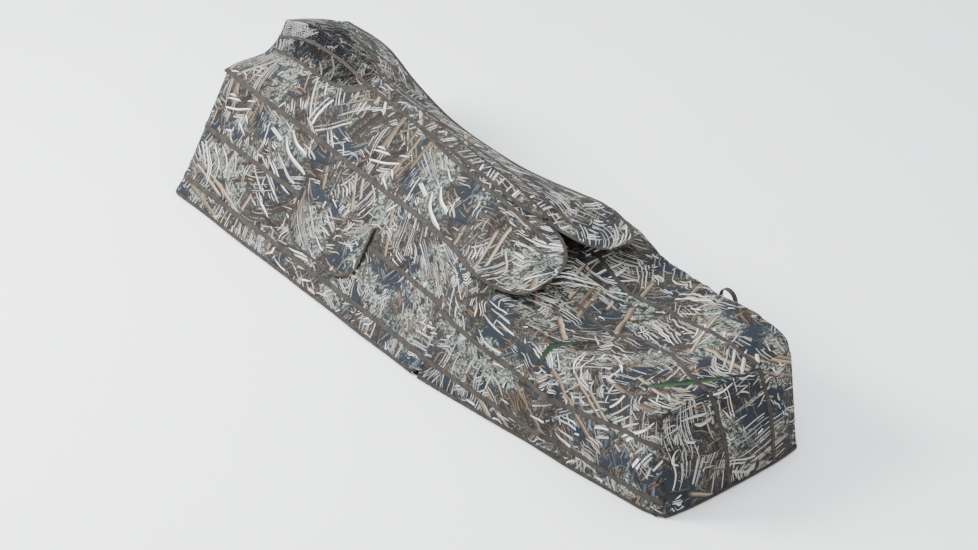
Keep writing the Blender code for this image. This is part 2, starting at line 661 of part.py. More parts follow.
def build_foot_arch(foot):
    arch = pivot("foot_arch_pivot", (0.0, FOOT_ARCH_Y, FOOT_ARCH_PIVOT_Z))
    arch.parent = foot
    arch.matrix_parent_inverse = foot.matrix_world.inverted()
    bpy.context.view_layer.update()
    corners = [(-0.2315, FOOT_ARCH_Y, FOOT_ARCH_PIVOT_Z - 0.008), (-0.2460, FOOT_ARCH_Y, 0.335),
               (0.2460, FOOT_ARCH_Y, 0.335), (0.2315, FOOT_ARCH_Y, FOOT_ARCH_PIVOT_Z - 0.008)]
    tube("foot_arch", rounded_path(corners, 0.05, steps=5), RAIL_R, "tube", arch)


def add_fold_ears():
    """Extend each fold bracket with an ear that carries the pin, and bore it."""
    for name, side in SIDES:
        for label, plate_x, toward in (("head", HEAD_EAR_X, 1.0), ("foot", FOOT_EAR_X, -1.0)):
            item = bpy.data.objects["fold_bracket_" + label + "_" + name]
            x_low, x_high = sorted((side * plate_x, side * (plate_x + PLATE_T)))
            y_low, y_high = sorted((FOLD_Y - toward * EAR_PAST_PIN, FOLD_Y + toward * EAR_REACH))
            ear_item = block(item.name + "_ear_guide", (x_low, y_low, FOLD_Z - 0.021),
                             (x_high, y_high, FOLD_Z + 0.013), "steel")
            ear_item.hide_render = True
            ear_item.display_type = "WIRE"
            join = item.modifiers.new("ear", "BOOLEAN")
            join.operation = "UNION"
            join.solver = "EXACT"
            join.object = ear_item
            drill(item, FOLD_Y, FOLD_Z, PIN_R + GAP)


def main():
    clear_scene()
    build_head_base()
    build_head_covers()
    build_legs()
    build_cockpit()
    build_doors()
    build_backrest()
    build_foot_base()
    add_fold_ears()


main()
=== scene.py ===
"""Looks of the layout field blind: cloth, straps, netting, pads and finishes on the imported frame.

Every cloth surface is a Skin: a fine grid of points that is shaped, wrinkled and then turned into
a sheet. Straps and hems are laid on the same grid. Units are metres, +Y runs to the head end.
"""

import json
import math
from functools import partial

import bpy
import numpy as np
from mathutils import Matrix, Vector, noise


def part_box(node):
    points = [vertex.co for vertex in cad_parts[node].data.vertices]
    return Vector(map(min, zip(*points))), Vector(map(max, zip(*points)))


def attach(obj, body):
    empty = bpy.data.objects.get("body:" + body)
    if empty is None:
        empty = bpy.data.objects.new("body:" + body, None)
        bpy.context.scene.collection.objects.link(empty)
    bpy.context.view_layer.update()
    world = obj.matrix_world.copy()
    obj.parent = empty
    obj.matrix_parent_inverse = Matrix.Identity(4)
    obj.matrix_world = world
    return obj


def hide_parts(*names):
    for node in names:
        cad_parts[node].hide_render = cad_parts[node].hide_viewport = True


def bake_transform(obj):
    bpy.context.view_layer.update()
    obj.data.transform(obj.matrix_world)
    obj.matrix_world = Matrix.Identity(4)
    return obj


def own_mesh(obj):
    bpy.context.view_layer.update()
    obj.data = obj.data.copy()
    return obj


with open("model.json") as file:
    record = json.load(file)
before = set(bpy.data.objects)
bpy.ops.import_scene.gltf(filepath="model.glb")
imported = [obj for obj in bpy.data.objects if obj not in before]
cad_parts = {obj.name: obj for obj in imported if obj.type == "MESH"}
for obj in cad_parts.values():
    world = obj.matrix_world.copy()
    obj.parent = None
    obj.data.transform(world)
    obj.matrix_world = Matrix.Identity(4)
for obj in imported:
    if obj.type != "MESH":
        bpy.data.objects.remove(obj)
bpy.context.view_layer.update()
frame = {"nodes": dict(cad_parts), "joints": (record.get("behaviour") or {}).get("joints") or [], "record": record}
SIDES = (("right", -1.0), ("left", 1.0))

# ---- places that come from the frame ------------------------------------------------------
HEAD_WALL_LOW, HEAD_WALL_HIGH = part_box("head_side_left")
FOOT_WALL_LOW, FOOT_WALL_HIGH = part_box("foot_side_left")
FOLD_Y = 0.5 * (HEAD_WALL_LOW[1] + FOOT_WALL_HIGH[1])
HEAD_BASE_END = HEAD_WALL_HIGH[1]
FOOT_BASE_END = FOOT_WALL_LOW[1]
HEAD_LEAN, FOOT_LEAN = 0.051, 0.044     # how far the two ends lean in at the top
HEAD_TOP_END = HEAD_BASE_END - HEAD_LEAN
FOOT_TOP_END = FOOT_BASE_END + FOOT_LEAN
HALF_WIDTH_HEAD = HEAD_WALL_HIGH[0]
HALF_WIDTH_FOLD = HALF_WIDTH_HEAD - 0.020   # the base narrows this much to the hips
HALF_WIDTH_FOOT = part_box("foot_end_panel")[1][0]

# Shapes of the cover along Y. SHOULDER is (y, half width, height), where walls and top meet;
# RIDGE and FOOT_TOP are (y, height) on the middle line; HEAD_DIP is (y, depth) of the sag in the
# right door.
SHOULDER = [(-1.05, 0.255, 0.335), (-1.00, 0.265, 0.355), (-0.90, 0.272, 0.357),
            (-0.80, 0.272, 0.345), (-0.68, 0.270, 0.328), (-0.55, 0.270, 0.330),
            (-0.42, 0.270, 0.345), (-0.25, 0.270, 0.370), (-0.15, 0.240, 0.372),
            (0.05, 0.207, 0.360), (0.25, 0.199, 0.352), (0.45, 0.199, 0.358),
            (0.65, 0.215, 0.385), (0.85, 0.243, 0.415), (1.05, 0.235, 0.415)]
RIDGE = [(-0.45, 0.405), (-0.30, 0.445), (-0.18, 0.475), (0.00, 0.497), (0.28, 0.516),
         (0.56, 0.534), (0.74, 0.560), (0.88, 0.560), (1.05, 0.505)]
FOOT_TOP = [(-1.05, 0.335), (-0.98, 0.357), (-0.88, 0.345), (-0.78, 0.318), (-0.68, 0.305),
            (-0.55, 0.315), (-0.42, 0.350), (-0.25, 0.420), (-0.17, 0.425)]
HEAD_DIP = [(0.68, 0.0), (0.85, 0.24), (1.03, 0.42)]
# Half width of the see-through window in each door.
WINDOW = {
    "right": [(0.545, 0.002), (0.585, 0.048), (0.625, 0.072), (0.680, 0.090), (0.850, 0.086),
              (1.050, 0.056)],
    "left": [(0.545, 0.002), (0.606, 0.042), (0.700, 0.088), (0.783, 0.104), (0.900, 0.126),
             (1.050, 0.105)],
}

STEP = 0.0085             # spacing of the points on the large skins
FINE_STEP = 0.0060        # and on the doors
CLOTH_T = 0.0012
HEM_Z = 0.003             # the cloth ends this far above the ground
WEB_WIDTH = 0.017         # sewn webbing
STRAP_T = 0.0013
STRAP_LIFT = 0.0004       # a strap starts this far above the cloth
BIND_WIDTH = 0.011        # folded edge binding
NARROW = 0.8              # share of the full width for a narrow strap or binding
NET_CELL, NET_COLUMNS = 0.0052, 18
NET_WIRE = 0.0026
DOOR_CROWN = 0.010        # how far a door's cloth arches between the rail and the ridge


# ---- shape functions ----------------------------------------------------------------------
def along(rows, y):
    """Smooth interpolation of a table of (y, value, ...) rows, as a list of values."""
    if y <= rows[0][0]:
        return list(rows[0][1:])
    if y >= rows[-1][0]:
        return list(rows[-1][1:])
    i = max(k for k in range(len(rows) - 1) if rows[k][0] <= y)
    before = rows[max(i - 1, 0)]
    low, high = rows[i], rows[i + 1]
    after = rows[min(i + 2, len(rows) - 1)]
    reach = high[0] - low[0]
    t = (y - low[0]) / reach
    values = []
    for k in range(1, len(low)):
        slope_low = (high[k] - before[k]) / (high[0] - before[0]) * reach
        slope_high = (after[k] - low[k]) / (after[0] - low[0]) * reach
        values.append((2 * t**3 - 3 * t**2 + 1) * low[k] + (t**3 - 2 * t**2 + t) * slope_low
                      + (3 * t**2 - 2 * t**3) * high[k] + (t**3 - t**2) * slope_high)
    return values


def smooth(low, high, value):
    """0 at low and 1 at high, with a soft rise between; low may be above high."""
    t = min(max((value - low) / (high - low), 0.0), 1.0)
    return t * t * (3 - 2 * t)


def half_width(y):
    """Half width of the blind on the ground."""
    if y < FOLD_Y:
        share = (y - FOOT_BASE_END) / (FOLD_Y - FOOT_BASE_END)
        return HALF_WIDTH_FOOT + share * (HALF_WIDTH_FOLD - HALF_WIDTH_FOOT)
    share = (y - FOLD_Y) / (HEAD_BASE_END - FOLD_Y)
    return HALF_WIDTH_FOLD + share * (HALF_WIDTH_HEAD - HALF_WIDTH_FOLD)


def door_height(x, y):
    """Height of the door surface at x. The right door dips beside the ridge near the head."""
    shoulder_x, shoulder_z = along(SHOULDER, y)
    ridge_z = along(RIDGE, y)[0]
    share = 1.0 - min(abs(x) / shoulder_x, 1.0)
    dip = along(HEAD_DIP, y)[0] * share**2 * (1.0 - share) if x < 0.0 else 0.0
    crown = DOOR_CROWN * math.sin(math.pi * share)
    return shoulder_z + (ridge_z - shoulder_z) * share + crown - dip


def foot_top_height(x, y):
    """Height of the foot half's top, which rises a little faster near the shoulders."""
    shoulder_x, shoulder_z = along(SHOULDER, y)
    middle_z = along(FOOT_TOP, y)[0]
    share = 1.0 - min(abs(x) / shoulder_x, 1.0)
    return shoulder_z + (middle_z - shoulder_z) * share * (1.35 - 0.35 * share)


def wall_point(side, base_y, top_y, share):
    """A point on a sloping side wall: share 0 is on the ground and 1 at the shoulder."""
    shoulder_x, shoulder_z = along(SHOULDER, top_y)
    low = np.array((side * half_width(base_y), base_y, HEM_Z))
    high = np.array((side * shoulder_x, top_y, shoulder_z))
    return low + (high - low) * share


def spread(low, high, step):
    """Even places from low to high, about step apart."""
    count = max(2, round(abs(high - low) / step))
    return [low + (high - low) * k / count for k in range(count + 1)]


def ripple(u, v, seed, long_scale=7.0, cross_scale=7.0):
    """Soft folds of cloth, from -1 to 1, with sharper creases between them."""
    broad = noise.noise(Vector((u * long_scale, v * cross_scale, seed)))
    finer = noise.noise(Vector((u * long_scale * 2.7, v * cross_scale * 2.3, seed + 11.3)))
    crease = 1.0 - 2.0 * abs(noise.noise(Vector((u * long_scale * 1.3, v * cross_scale * 1.6,
                                                 seed + 29.7))))
    return 0.75 * broad + 0.30 * finer - 0.35 * max(crease, 0.0)**6


# ---- skins, straps and hems ---------------------------------------------------------------
class Skin:
    """A grid of points over a cloth surface, indexed by row and column."""

    def __init__(self, rows):
        self.points = np.array(rows, float)
        self.rows, self.columns = self.points.shape[:2]
        self.measure()

    def measure(self):
        """Unit normals that point away from the inside of the blind."""
        down = np.gradient(self.points, axis=0)
        across = np.gradient(self.points, axis=1)
        normals = np.cross(down, across)
        size = np.linalg.norm(normals, axis=2, keepdims=True)
        self.normals = normals / np.maximum(size, 1e-12)
        inside = self.points.copy()
        inside[..., 0] *= 0.2
        inside[..., 2] = 0.05
        facing = ((self.points - inside) * self.normals).sum()
        self.flipped = facing < 0
        if self.flipped:
            self.normals = -self.normals

    def face(self, direction):
        """Turn the normals so that they point along direction on the whole."""
        if (self.normals * np.array(direction)).sum() < 0:
            self.normals = -self.normals
            self.flipped = not self.flipped

    def soften(self, first, last, rounds=8):
        """Round the corner between two rows."""
        for _ in range(rounds):
            middle = self.points[first:last]
            before = self.points[first - 1:last - 1]
            after = self.points[first + 1:last + 1]
            self.points[first:last] = 0.5 * middle + 0.25 * (before + after)
        self.measure()

    def push(self, amount):
        """Move each point along its normal by amount(row, column, point)."""
        moves = np.array([[amount(i, j, self.points[i, j]) for j in range(self.columns)]
                          for i in range(self.rows)])
        self.points = self.points + self.normals * moves[..., None]
        self.measure()

    def at(self, row, column):
        """The point and the normal at fractional grid places."""
        row = min(max(row, 0.0), self.rows - 1.0)
        column = min(max(column, 0.0), self.columns - 1.0)
        i, j = min(int(row), self.rows - 2), min(int(column), self.columns - 2)
        a, b = row - i, column - j
        weights = ((i, j, (1 - a) * (1 - b)), (i + 1, j, a * (1 - b)),
                   (i, j + 1, (1 - a) * b), (i + 1, j + 1, a * b))
        point = sum(self.points[r, c] * w for r, c, w in weights)
        normal = sum(self.normals[r, c] * w for r, c, w in weights)
        normal = normal / max(np.linalg.norm(normal), 1e-9)
        return point, normal

    def route(self, places, step=0.7):
        """Points and normals along a chain of grid places, resampled evenly."""
        found = []
        for (row, column), (next_row, next_column) in zip(places, places[1:]):
            count = max(1, round(math.hypot(next_row - row, next_column - column) / step))
            for k in range(count):
                t = k / count
                found.append(self.at(row + (next_row - row) * t,
                                     column + (next_column - column) * t))
        found.append(self.at(*places[-1]))
        return found

    def sheet(self, name, material, skip=None, thickness=CLOTH_T, shift=(0.0, 0.0)):
        """The cloth itself, without the cells to skip, with UVs in metres of cloth."""
        faces = []
        for i in range(self.rows - 1):
            for j in range(self.columns - 1):
                if skip is not None and skip(i, j):
                    continue
                corner = i * self.columns + j
                face = (corner, corner + self.columns, corner + self.columns + 1, corner + 1)
                faces.append(face[::-1] if self.flipped else face)
        middle = self.points[:, self.columns // 2]
        steps = np.linalg.norm(np.diff(middle, axis=0), axis=1)
        run = np.concatenate(([0.0], np.cumsum(steps)))
        across = np.linalg.norm(np.diff(self.points, axis=1), axis=2)
        across = np.concatenate((np.zeros((self.rows, 1)), np.cumsum(across, axis=1)), axis=1)
        flat = [(run[i] + shift[0], across[i, j] + shift[1])
                for i in range(self.rows) for j in range(self.columns)]
        item = mesh_piece(name, self.points.reshape(-1, 3), faces, material, flat)
        shell = item.modifiers.new("thickness", "SOLIDIFY")
        shell.thickness = thickness
        shell.offset = -1.0
        return item


def mesh_piece(name, points, faces, material, flat):
    """A smooth-shaded mesh; flat holds each point's UV in metres."""
    used = sorted({index for face in faces for index in face})
    place = {index: k for k, index in enumerate(used)}
    mesh = bpy.data.meshes.new(name)
    mesh.from_pydata([tuple(points[index]) for index in used], [],
                     [tuple(place[index] for index in face) for face in faces])
    layer = mesh.uv_layers.new(name="cloth")
    for loop in mesh.loops:
        layer.data[loop.index].uv = flat[used[loop.vertex_index]]
    mesh.shade_smooth()
    mesh.materials.append(material)
    item = bpy.data.objects.new(name, mesh)
    bpy.context.collection.objects.link(item)
    return item


def ribbon(name, path, width, material, thickness=STRAP_T):
    """A flat strap along path, a list of (point, normal), with softened edges."""
    places = np.array([point for point, _ in path])
    normals = np.array([normal for _, normal in path])
    runs = np.gradient(places, axis=0)
    runs /= np.maximum(np.linalg.norm(runs, axis=1, keepdims=True), 1e-9)
    across = np.cross(normals, runs)
    across /= np.maximum(np.linalg.norm(across, axis=1, keepdims=True), 1e-9)
    half = width / 2
    profile = ((-half, 0.0), (-half * 0.97, 0.8), (-half * 0.80, 1.0), (0.0, 1.08),
               (half * 0.80, 1.0), (half * 0.97, 0.8), (half, 0.0))
    lengths = np.concatenate(([0.0], np.cumsum(np.linalg.norm(np.diff(places, axis=0), axis=1))))
    points, flat, count = [], [], len(profile)
    for place, normal, cross, run in zip(places, normals, across, lengths):
        for offset, height in profile:
            points.append(place + cross * offset + normal * (STRAP_LIFT + thickness * height))
            flat.append((run, offset + half))
    faces = []
    for i in range(len(places) - 1):
        for j in range(count):
            a, b = i * count + j, i * count + (j + 1) % count
            faces.append((a, b, b + count, a + count))
    last = (len(places) - 1) * count
    faces.append(tuple(range(count))[::-1])
    faces.append(tuple(last + j for j in range(count)))
    return mesh_piece(name, points, faces, material, flat)


# ---- materials ----------------------------------------------------------------------------
class Graph:
    """A node material with short calls for the nodes it needs."""

    def __init__(self, name, roughness=0.85, sheen=0.0, metallic=0.0):
        self.material = bpy.data.materials.new(name)
        self.material.use_nodes = True
        self.nodes = self.material.node_tree.nodes
        self.links = self.material.node_tree.links
        self.shader = self.nodes["Principled BSDF"]
        self.shader.inputs["Roughness"].default_value = roughness
        self.shader.inputs["Metallic"].default_value = metallic
        self.shader.inputs["Sheen Weight"].default_value = sheen
        self.shader.inputs["Specular IOR Level"].default_value = 0.5 if metallic else 0.22

    def colour(self, value):
        self.put(self.shader.inputs["Base Color"], value)

    def roughness(self, value):
        self.put(self.shader.inputs["Roughness"], value)

    def put(self, socket, value):
        if isinstance(value, bpy.types.NodeSocket):
            self.links.new(value, socket)
        else:
            socket.default_value = value

    def add(self, kind, inputs=None, **settings):
        node = self.nodes.new(kind)
        for key, value in settings.items():
            setattr(node, key, value)
        for key, value in (inputs or {}).items():
            self.put(node.inputs[key], value)
        return node

    def math(self, operation, first, second=0.0, third=0.0):
        node = self.add("ShaderNodeMath", {0: first, 1: second, 2: third}, operation=operation)
        return node.outputs[0]

    def times(self, first, second):
        return self.math("MULTIPLY", first, second)

    def split(self, vector):
        """The X, Y and Z of a vector."""
        return self.add("ShaderNodeSeparateXYZ", {0: vector}).outputs

    def step(self, value, low, high):
        """0 below low and 1 above high, with a soft rise between."""
        node = self.add("ShaderNodeMapRange", {"Value": value, "From Min": low, "From Max": high},
                        interpolation_type="SMOOTHSTEP")
        return node.outputs["Result"]

    def mix(self, share, first, second):
        node = self.add("ShaderNodeMix", data_type="RGBA")
        colours = [socket for socket in node.inputs if socket.type == "RGBA"]
        self.put(node.inputs[0], share)
        self.put(colours[0], first)
        self.put(colours[1], second)
        return [socket for socket in node.outputs if socket.type == "RGBA"][0]

    def noise(self, vector, scale, detail=2.0, roughness=0.5, warp=0.0):
        node = self.add("ShaderNodeTexNoise", {"Vector": vector, "Scale": scale, "Detail": detail,
                                               "Roughness": roughness, "Distortion": warp})
        return node.outputs[0]

    def shift(self, vector, offset):
        return self.add("ShaderNodeVectorMath", {0: vector, 1: offset}).outputs[0]

    def bump(self, height, strength, distance):
        node = self.add("ShaderNodeBump", {"Height": height, "Strength": strength,
                                           "Distance": distance})
        self.links.new(node.outputs[0], self.shader.inputs["Normal"])


def rgb(red, green, blue):
    return (red, green, blue, 1.0)


# Reed strokes, bottom layer first. curl turns each stroke's lane into an arc, and share is how
# much of the cloth the layer's clumps cover.
# patch, length, width, curl, density, radius, blunt, light colour, dark colour, share, seed
STROKES = (
    (0.34, 0.420, 0.0260, 0.20, 0.50, 0.36, False, rgb(0.125, 0.094, 0.070),
     rgb(0.035, 0.025, 0.020), 0.70, 1.7),
    (0.17, 0.130, 0.0070, 0.30, 0.62, 0.36, False, rgb(0.285, 0.270, 0.240),
     rgb(0.075, 0.062, 0.052), 0.62, 5.2),
    (0.26, 0.260, 0.0180, 0.26, 0.40, 0.36, False, rgb(0.200, 0.222, 0.240),
     rgb(0.056, 0.065, 0.076), 0.55, 9.9),
    (0.27, 0.300, 0.0072, 0.26, 0.60, 0.38, False, rgb(0.640, 0.640, 0.620),
     rgb(0.170, 0.145, 0.120), 0.72, 14.4),
    (0.15, 0.110, 0.0085, 0.42, 0.40, 0.36, False, rgb(0.325, 0.238, 0.170),
     rgb(0.085, 0.060, 0.044), 0.45, 3.3),
    (0.55, 0.620, 0.0240, 0.12, 0.33, 0.36, True, rgb(0.470, 0.400, 0.320),
     rgb(0.120, 0.085, 0.062), 0.55, 18.1),
    (0.25, 0.260, 0.0125, 0.34, 0.36, 0.36, False, rgb(0.840, 0.850, 0.860),
     rgb(0.300, 0.265, 0.230), 0.55, 23.6),
    (0.12, 0.080, 0.0060, 0.60, 0.45, 0.38, False, rgb(0.760, 0.765, 0.750),
     rgb(0.260, 0.230, 0.200), 0.40, 27.9),
    (0.70, 0.330, 0.0300, 0.16, 0.022, 0.34, False, rgb(0.095, 0.160, 0.085),
     rgb(0.012, 0.045, 0.020), 0.90, 31.3),
)


def reed_strokes(graph, cloth, under, layer):
    """Lay one layer of bent reeds over a colour."""
    patch, length, width, curl, density, radius, blunt, light, dark, share, seed = layer
    moved = graph.shift(cloth, (seed, seed * 0.7, 0.0))
    field = graph.add("ShaderNodeTexVoronoi", {"Vector": moved, "Scale": 1.0 / patch},
                      voronoi_dimensions="2D")
    parts = graph.add("ShaderNodeSeparateColor", {0: field.outputs["Color"]})
    angle = graph.times(parts.outputs[0], 2 * math.pi)
    turned = graph.add("ShaderNodeVectorRotate", {"Vector": moved, "Angle": angle,
                                                  "Center": field.outputs["Position"]},
                       rotation_type="Z_AXIS")
    from_centre = graph.add("ShaderNodeVectorMath", {0: turned.outputs[0],
                                                     1: field.outputs["Position"]},
                            operation="SUBTRACT")
    run = graph.split(from_centre.outputs[0])[0]
    arc = graph.times(graph.times(run, run), curl / patch)
    arc = graph.times(arc, graph.math("SUBTRACT", parts.outputs[1], 0.4))
    sway = graph.noise(turned.outputs[0], 1.1 / length, 1.0)
    sway = graph.times(graph.math("SUBTRACT", sway, 0.5), length * curl * 1.5)
    local = graph.split(turned.outputs[0])
    lane = graph.math("ADD", local[1], graph.math("ADD", sway, arc))
    stretched = graph.add("ShaderNodeCombineXYZ",
                          {0: graph.math("DIVIDE", local[0], length),
                           1: graph.math("DIVIDE", lane, width)})
    reeds = graph.add("ShaderNodeTexVoronoi", {"Vector": stretched.outputs[0], "Scale": 1.0},
                      voronoi_dimensions="2D",
                      distance="CHEBYCHEV" if blunt else "EUCLIDEAN")
    chance = graph.add("ShaderNodeSeparateColor", {0: reeds.outputs["Color"]})
    clump = graph.noise(moved, 0.75 / patch + 2.5, 1.0, 0.5)
    open_ground = graph.step(clump, 0.60 - 0.25 * share, 0.66 - 0.25 * share)
    shown = graph.math("LESS_THAN", chance.outputs[0], graph.times(open_ground, density))
    far = reeds.outputs["Distance"]
    fat = graph.math("MULTIPLY_ADD", chance.outputs[2], 0.5, 0.55)
    far = graph.math("DIVIDE", far, fat)
    inside = graph.times(graph.step(far, radius, radius * 0.84), shown)
    halo = graph.times(graph.step(far, radius * 1.45, radius), shown)
    centre = graph.split(reeds.outputs["Position"])
    spot = graph.split(stretched.outputs[0])
    lit = graph.math("SUBTRACT", spot[1], centre[1])
    lit = graph.step(lit, -radius * 0.9, radius * 0.45)
    tone = graph.times(lit, graph.math("MULTIPLY_ADD", chance.outputs[1], 0.75, 0.25))
    shade = graph.mix(graph.times(halo, 0.60), under, rgb(0.018, 0.017, 0.018))
    return graph.mix(inside, shade, graph.mix(tone, dark, light))


def camo_print(graph, cloth):
    """A reed bed print: dark water, pale lichen, leaf litter and layers of bent reeds."""
    broad = graph.noise(cloth, 5.5, 2.0, 0.5, 0.6)
    ground = graph.mix(graph.step(broad, 0.42, 0.56), rgb(0.040, 0.050, 0.064),
                       rgb(0.062, 0.054, 0.046))
    litter = graph.noise(graph.shift(cloth, (3.1, 7.7, 0.0)), 70.0, 4.0, 0.7, 1.6)
    littered = graph.times(graph.step(litter, 0.50, 0.72), graph.step(broad, 0.40, 0.52))
    ground = graph.mix(littered, ground, rgb(0.270, 0.255, 0.230))
    patches = graph.noise(graph.shift(cloth, (8.4, 2.2, 0.0)), 6.5, 1.0, 0.4, 0.4)
    speckle = graph.noise(graph.shift(cloth, (1.9, 4.6, 0.0)), 120.0, 3.0, 0.65, 0.5)
    blotch = graph.noise(graph.shift(cloth, (6.1, 0.6, 0.0)), 38.0, 3.0, 0.6, 0.8)
    lichen = graph.mix(graph.step(speckle, 0.38, 0.60), rgb(0.060, 0.070, 0.066),
                       rgb(0.360, 0.375, 0.330))
    lichen = graph.mix(graph.step(blotch, 0.50, 0.60), lichen, rgb(0.045, 0.052, 0.052))
    where = graph.step(graph.math("MULTIPLY_ADD", speckle, 0.16, patches), 0.61, 0.68)
    colour = graph.mix(where, ground, lichen)
    for layer in STROKES:
        colour = reed_strokes(graph, cloth, colour, layer)
    return colour


def cloth_uv(graph):
    return graph.add("ShaderNodeUVMap", uv_map="cloth").outputs[0]


def weave(graph, cloth, pitch):
    """Height of a plain weave with threads pitch apart."""
    parts = graph.split(cloth)
    warp = graph.math("SINE", graph.times(parts[0], 2 * math.pi / pitch))
    weft = graph.math("SINE", graph.times(parts[1], 2 * math.pi / pitch))
    return graph.times(warp, weft)


THREAD_PITCH = 0.0009     # camouflage cloth
PRINT_GAMMA = 1.42        # deepens the print's darks


def make_camo(name, darken):
    """Printed cloth that is faded in places; darken shades all of it."""
    graph = Graph(name, 0.82)
    cloth = cloth_uv(graph)
    colour = camo_print(graph, cloth)
    colour = graph.add("ShaderNodeGamma", {0: colour, 1: PRINT_GAMMA}).outputs[0]
    fade = graph.noise(cloth, 3.0, 3.0)
    colour = graph.mix(graph.math("MULTIPLY_ADD", fade, 0.5, darken - 0.25), colour,
                       rgb(0.006, 0.007, 0.008))
    graph.colour(colour)
    crumple = graph.noise(cloth, 55.0, 4.0, 0.6, 0.8)
    height = graph.math("MULTIPLY_ADD", weave(graph, cloth, THREAD_PITCH), 0.05, crumple)
    graph.bump(height, 0.55, 0.0022)
    graph.roughness(graph.math("MULTIPLY_ADD", fade, 0.16, 0.74))
    return graph.material


RIB_PITCH, PICK_PITCH = 0.0024, 0.0018      # of the webbing, across it and along it


def make_webbing(name, light, dark):
    """Woven strap: ribs along it and cross threads."""
    graph = Graph(name)
    cloth = cloth_uv(graph)
    parts = graph.split(cloth)
    ribs = graph.math("SINE", graph.times(parts[1], 2 * math.pi / RIB_PITCH))
    picks = graph.math("SINE", graph.times(parts[0], 2 * math.pi / PICK_PITCH))
    height = graph.math("MULTIPLY_ADD", ribs, 0.5, graph.times(picks, 0.35))
    dirt = graph.noise(cloth, 40.0, 4.0, 0.6)
    # The colour follows the weave height as well as the dirt noise: painted highlight on the raised ribs and cross
    # threads, painted shade in the grooves between them.
    tone = graph.math("MULTIPLY_ADD", height, 0.18, dirt)
    graph.colour(graph.mix(graph.step(tone, 0.25, 0.75), dark, light))
    graph.bump(height, 0.5, 0.0005)
    return graph.material


def make_black_cloth(name, base, pitch, coat):
    """Coated or quilted black cloth with fine weave and dusty wear."""
    graph = Graph(name, 0.60, 0.25)
    cloth = cloth_uv(graph)
    dust = graph.noise(cloth, 14.0, 5.0, 0.65)
    pale = tuple(min(1.0, c * 2.6 + 0.01) for c in base[:3]) + (1.0,)
    graph.colour(graph.mix(graph.step(dust, 0.40, 0.80), base, pale))
    height = graph.math("MULTIPLY_ADD", weave(graph, cloth, pitch), 0.30, dust)
    graph.bump(height, 0.35, 0.0008)
    graph.shader.inputs["Coat Weight"].default_value = coat
    graph.roughness(graph.math("MULTIPLY_ADD", dust, 0.30, 0.45))
    return graph.material


def make_hard(name, base, worn, roughness, metallic, grain, wear_low):
    """Coated tube, plated steel or moulded plastic, with scuffs and a fine surface grain."""
    graph = Graph(name, roughness, 0.0, metallic)
    where = graph.add("ShaderNodeTexCoord").outputs["Object"]
    scuff = graph.noise(where, 34.0, 6.0, 0.7, 0.4)
    graph.colour(graph.mix(graph.step(scuff, wear_low, wear_low + 0.14), base, worn))
    fine = graph.noise(where, grain, 3.0, 0.6)
    graph.roughness(graph.math("MULTIPLY_ADD", fine, 0.30, roughness - 0.15))
    graph.bump(graph.math("MULTIPLY_ADD", fine, 0.5, scuff), 0.25, 0.0004)
    return graph.material


CAMO = make_camo("camo_cloth", 0.03)
NET_CAMO = make_camo("camo_net", 0.34)
WEBBING = make_webbing("brown_webbing", rgb(0.046, 0.039, 0.033), rgb(0.019, 0.016, 0.014))
HEM = make_webbing("brown_binding", rgb(0.040, 0.034, 0.029), rgb(0.016, 0.013, 0.011))
FLOOR_CLOTH = make_black_cloth("floor_cloth", rgb(0.012, 0.012, 0.013), 0.0016, 0.25)
PAD_CLOTH = make_black_cloth("pad_cloth", rgb(0.020, 0.020, 0.021), 0.0012, 0.0)
TUBE = make_hard("black_tube", rgb(0.018, 0.018, 0.019), rgb(0.08, 0.08, 0.08), 0.52, 0.20,
                 900.0, 0.66)
STEEL = make_hard("zinc_steel", rgb(0.20, 0.205, 0.215), rgb(0.30, 0.29, 0.27), 0.46, 0.95,
                  700.0, 0.62)
PLASTIC = make_hard("black_plastic", rgb(0.014, 0.014, 0.015), rgb(0.05, 0.05, 0.05), 0.50, 0.0,
                    1400.0, 0.68)
MATERIAL_OF_SLOT = {"frame_tube": TUBE, "steel": STEEL, "plastic": PLASTIC}


def finish_hard_nodes():
    """Give the tubes, plates and mouldings of the frame their finishes."""
    for entry in frame["record"]["subparts"]:
        material = MATERIAL_OF_SLOT.get(entry["material_slot"])
        if material is None:
            continue
        for place in frame["nodes"][entry["node"]].material_slots:
            place.link = "OBJECT"
            place.material = material


def sink(item, body, slot):
    """Cloth that moves with a body, with a mesh of its own."""
    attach(item, body)
    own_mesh(item)


def on_head(item, slot="camo_fabric"):
    sink(item, "head_base", slot)


def on_foot(item, slot="camo_fabric"):
    sink(item, "foot_base", slot)


def on_flap(item, name, slot="camo_fabric"):
    """A flag port flap, which moves with the flap's own body and turns up by itself."""
    sink(item, "flap_" + name, slot)


def on_door(item, name, side, slot="camo_fabric"):
    """Door cloth, with its placement baked into its mesh."""
    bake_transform(item)


def sew(place, name, path, width=WEB_WIDTH, material=WEBBING, thickness=STRAP_T):
    """Lay a strap along path; place says what it moves with."""
    item = ribbon(name, path, width, material, thickness)
    place(item, slot="webbing")
    return item


def bind(place, name, path, width=BIND_WIDTH, thickness=STRAP_T):
    """Sew a binding along path."""
    sew(place, name, path, width, HEM, thickness)


# ---- head half ----------------------------------------------------------------------------
LAP = 0.020               # the head walls overlap the foot half by this much at the kink


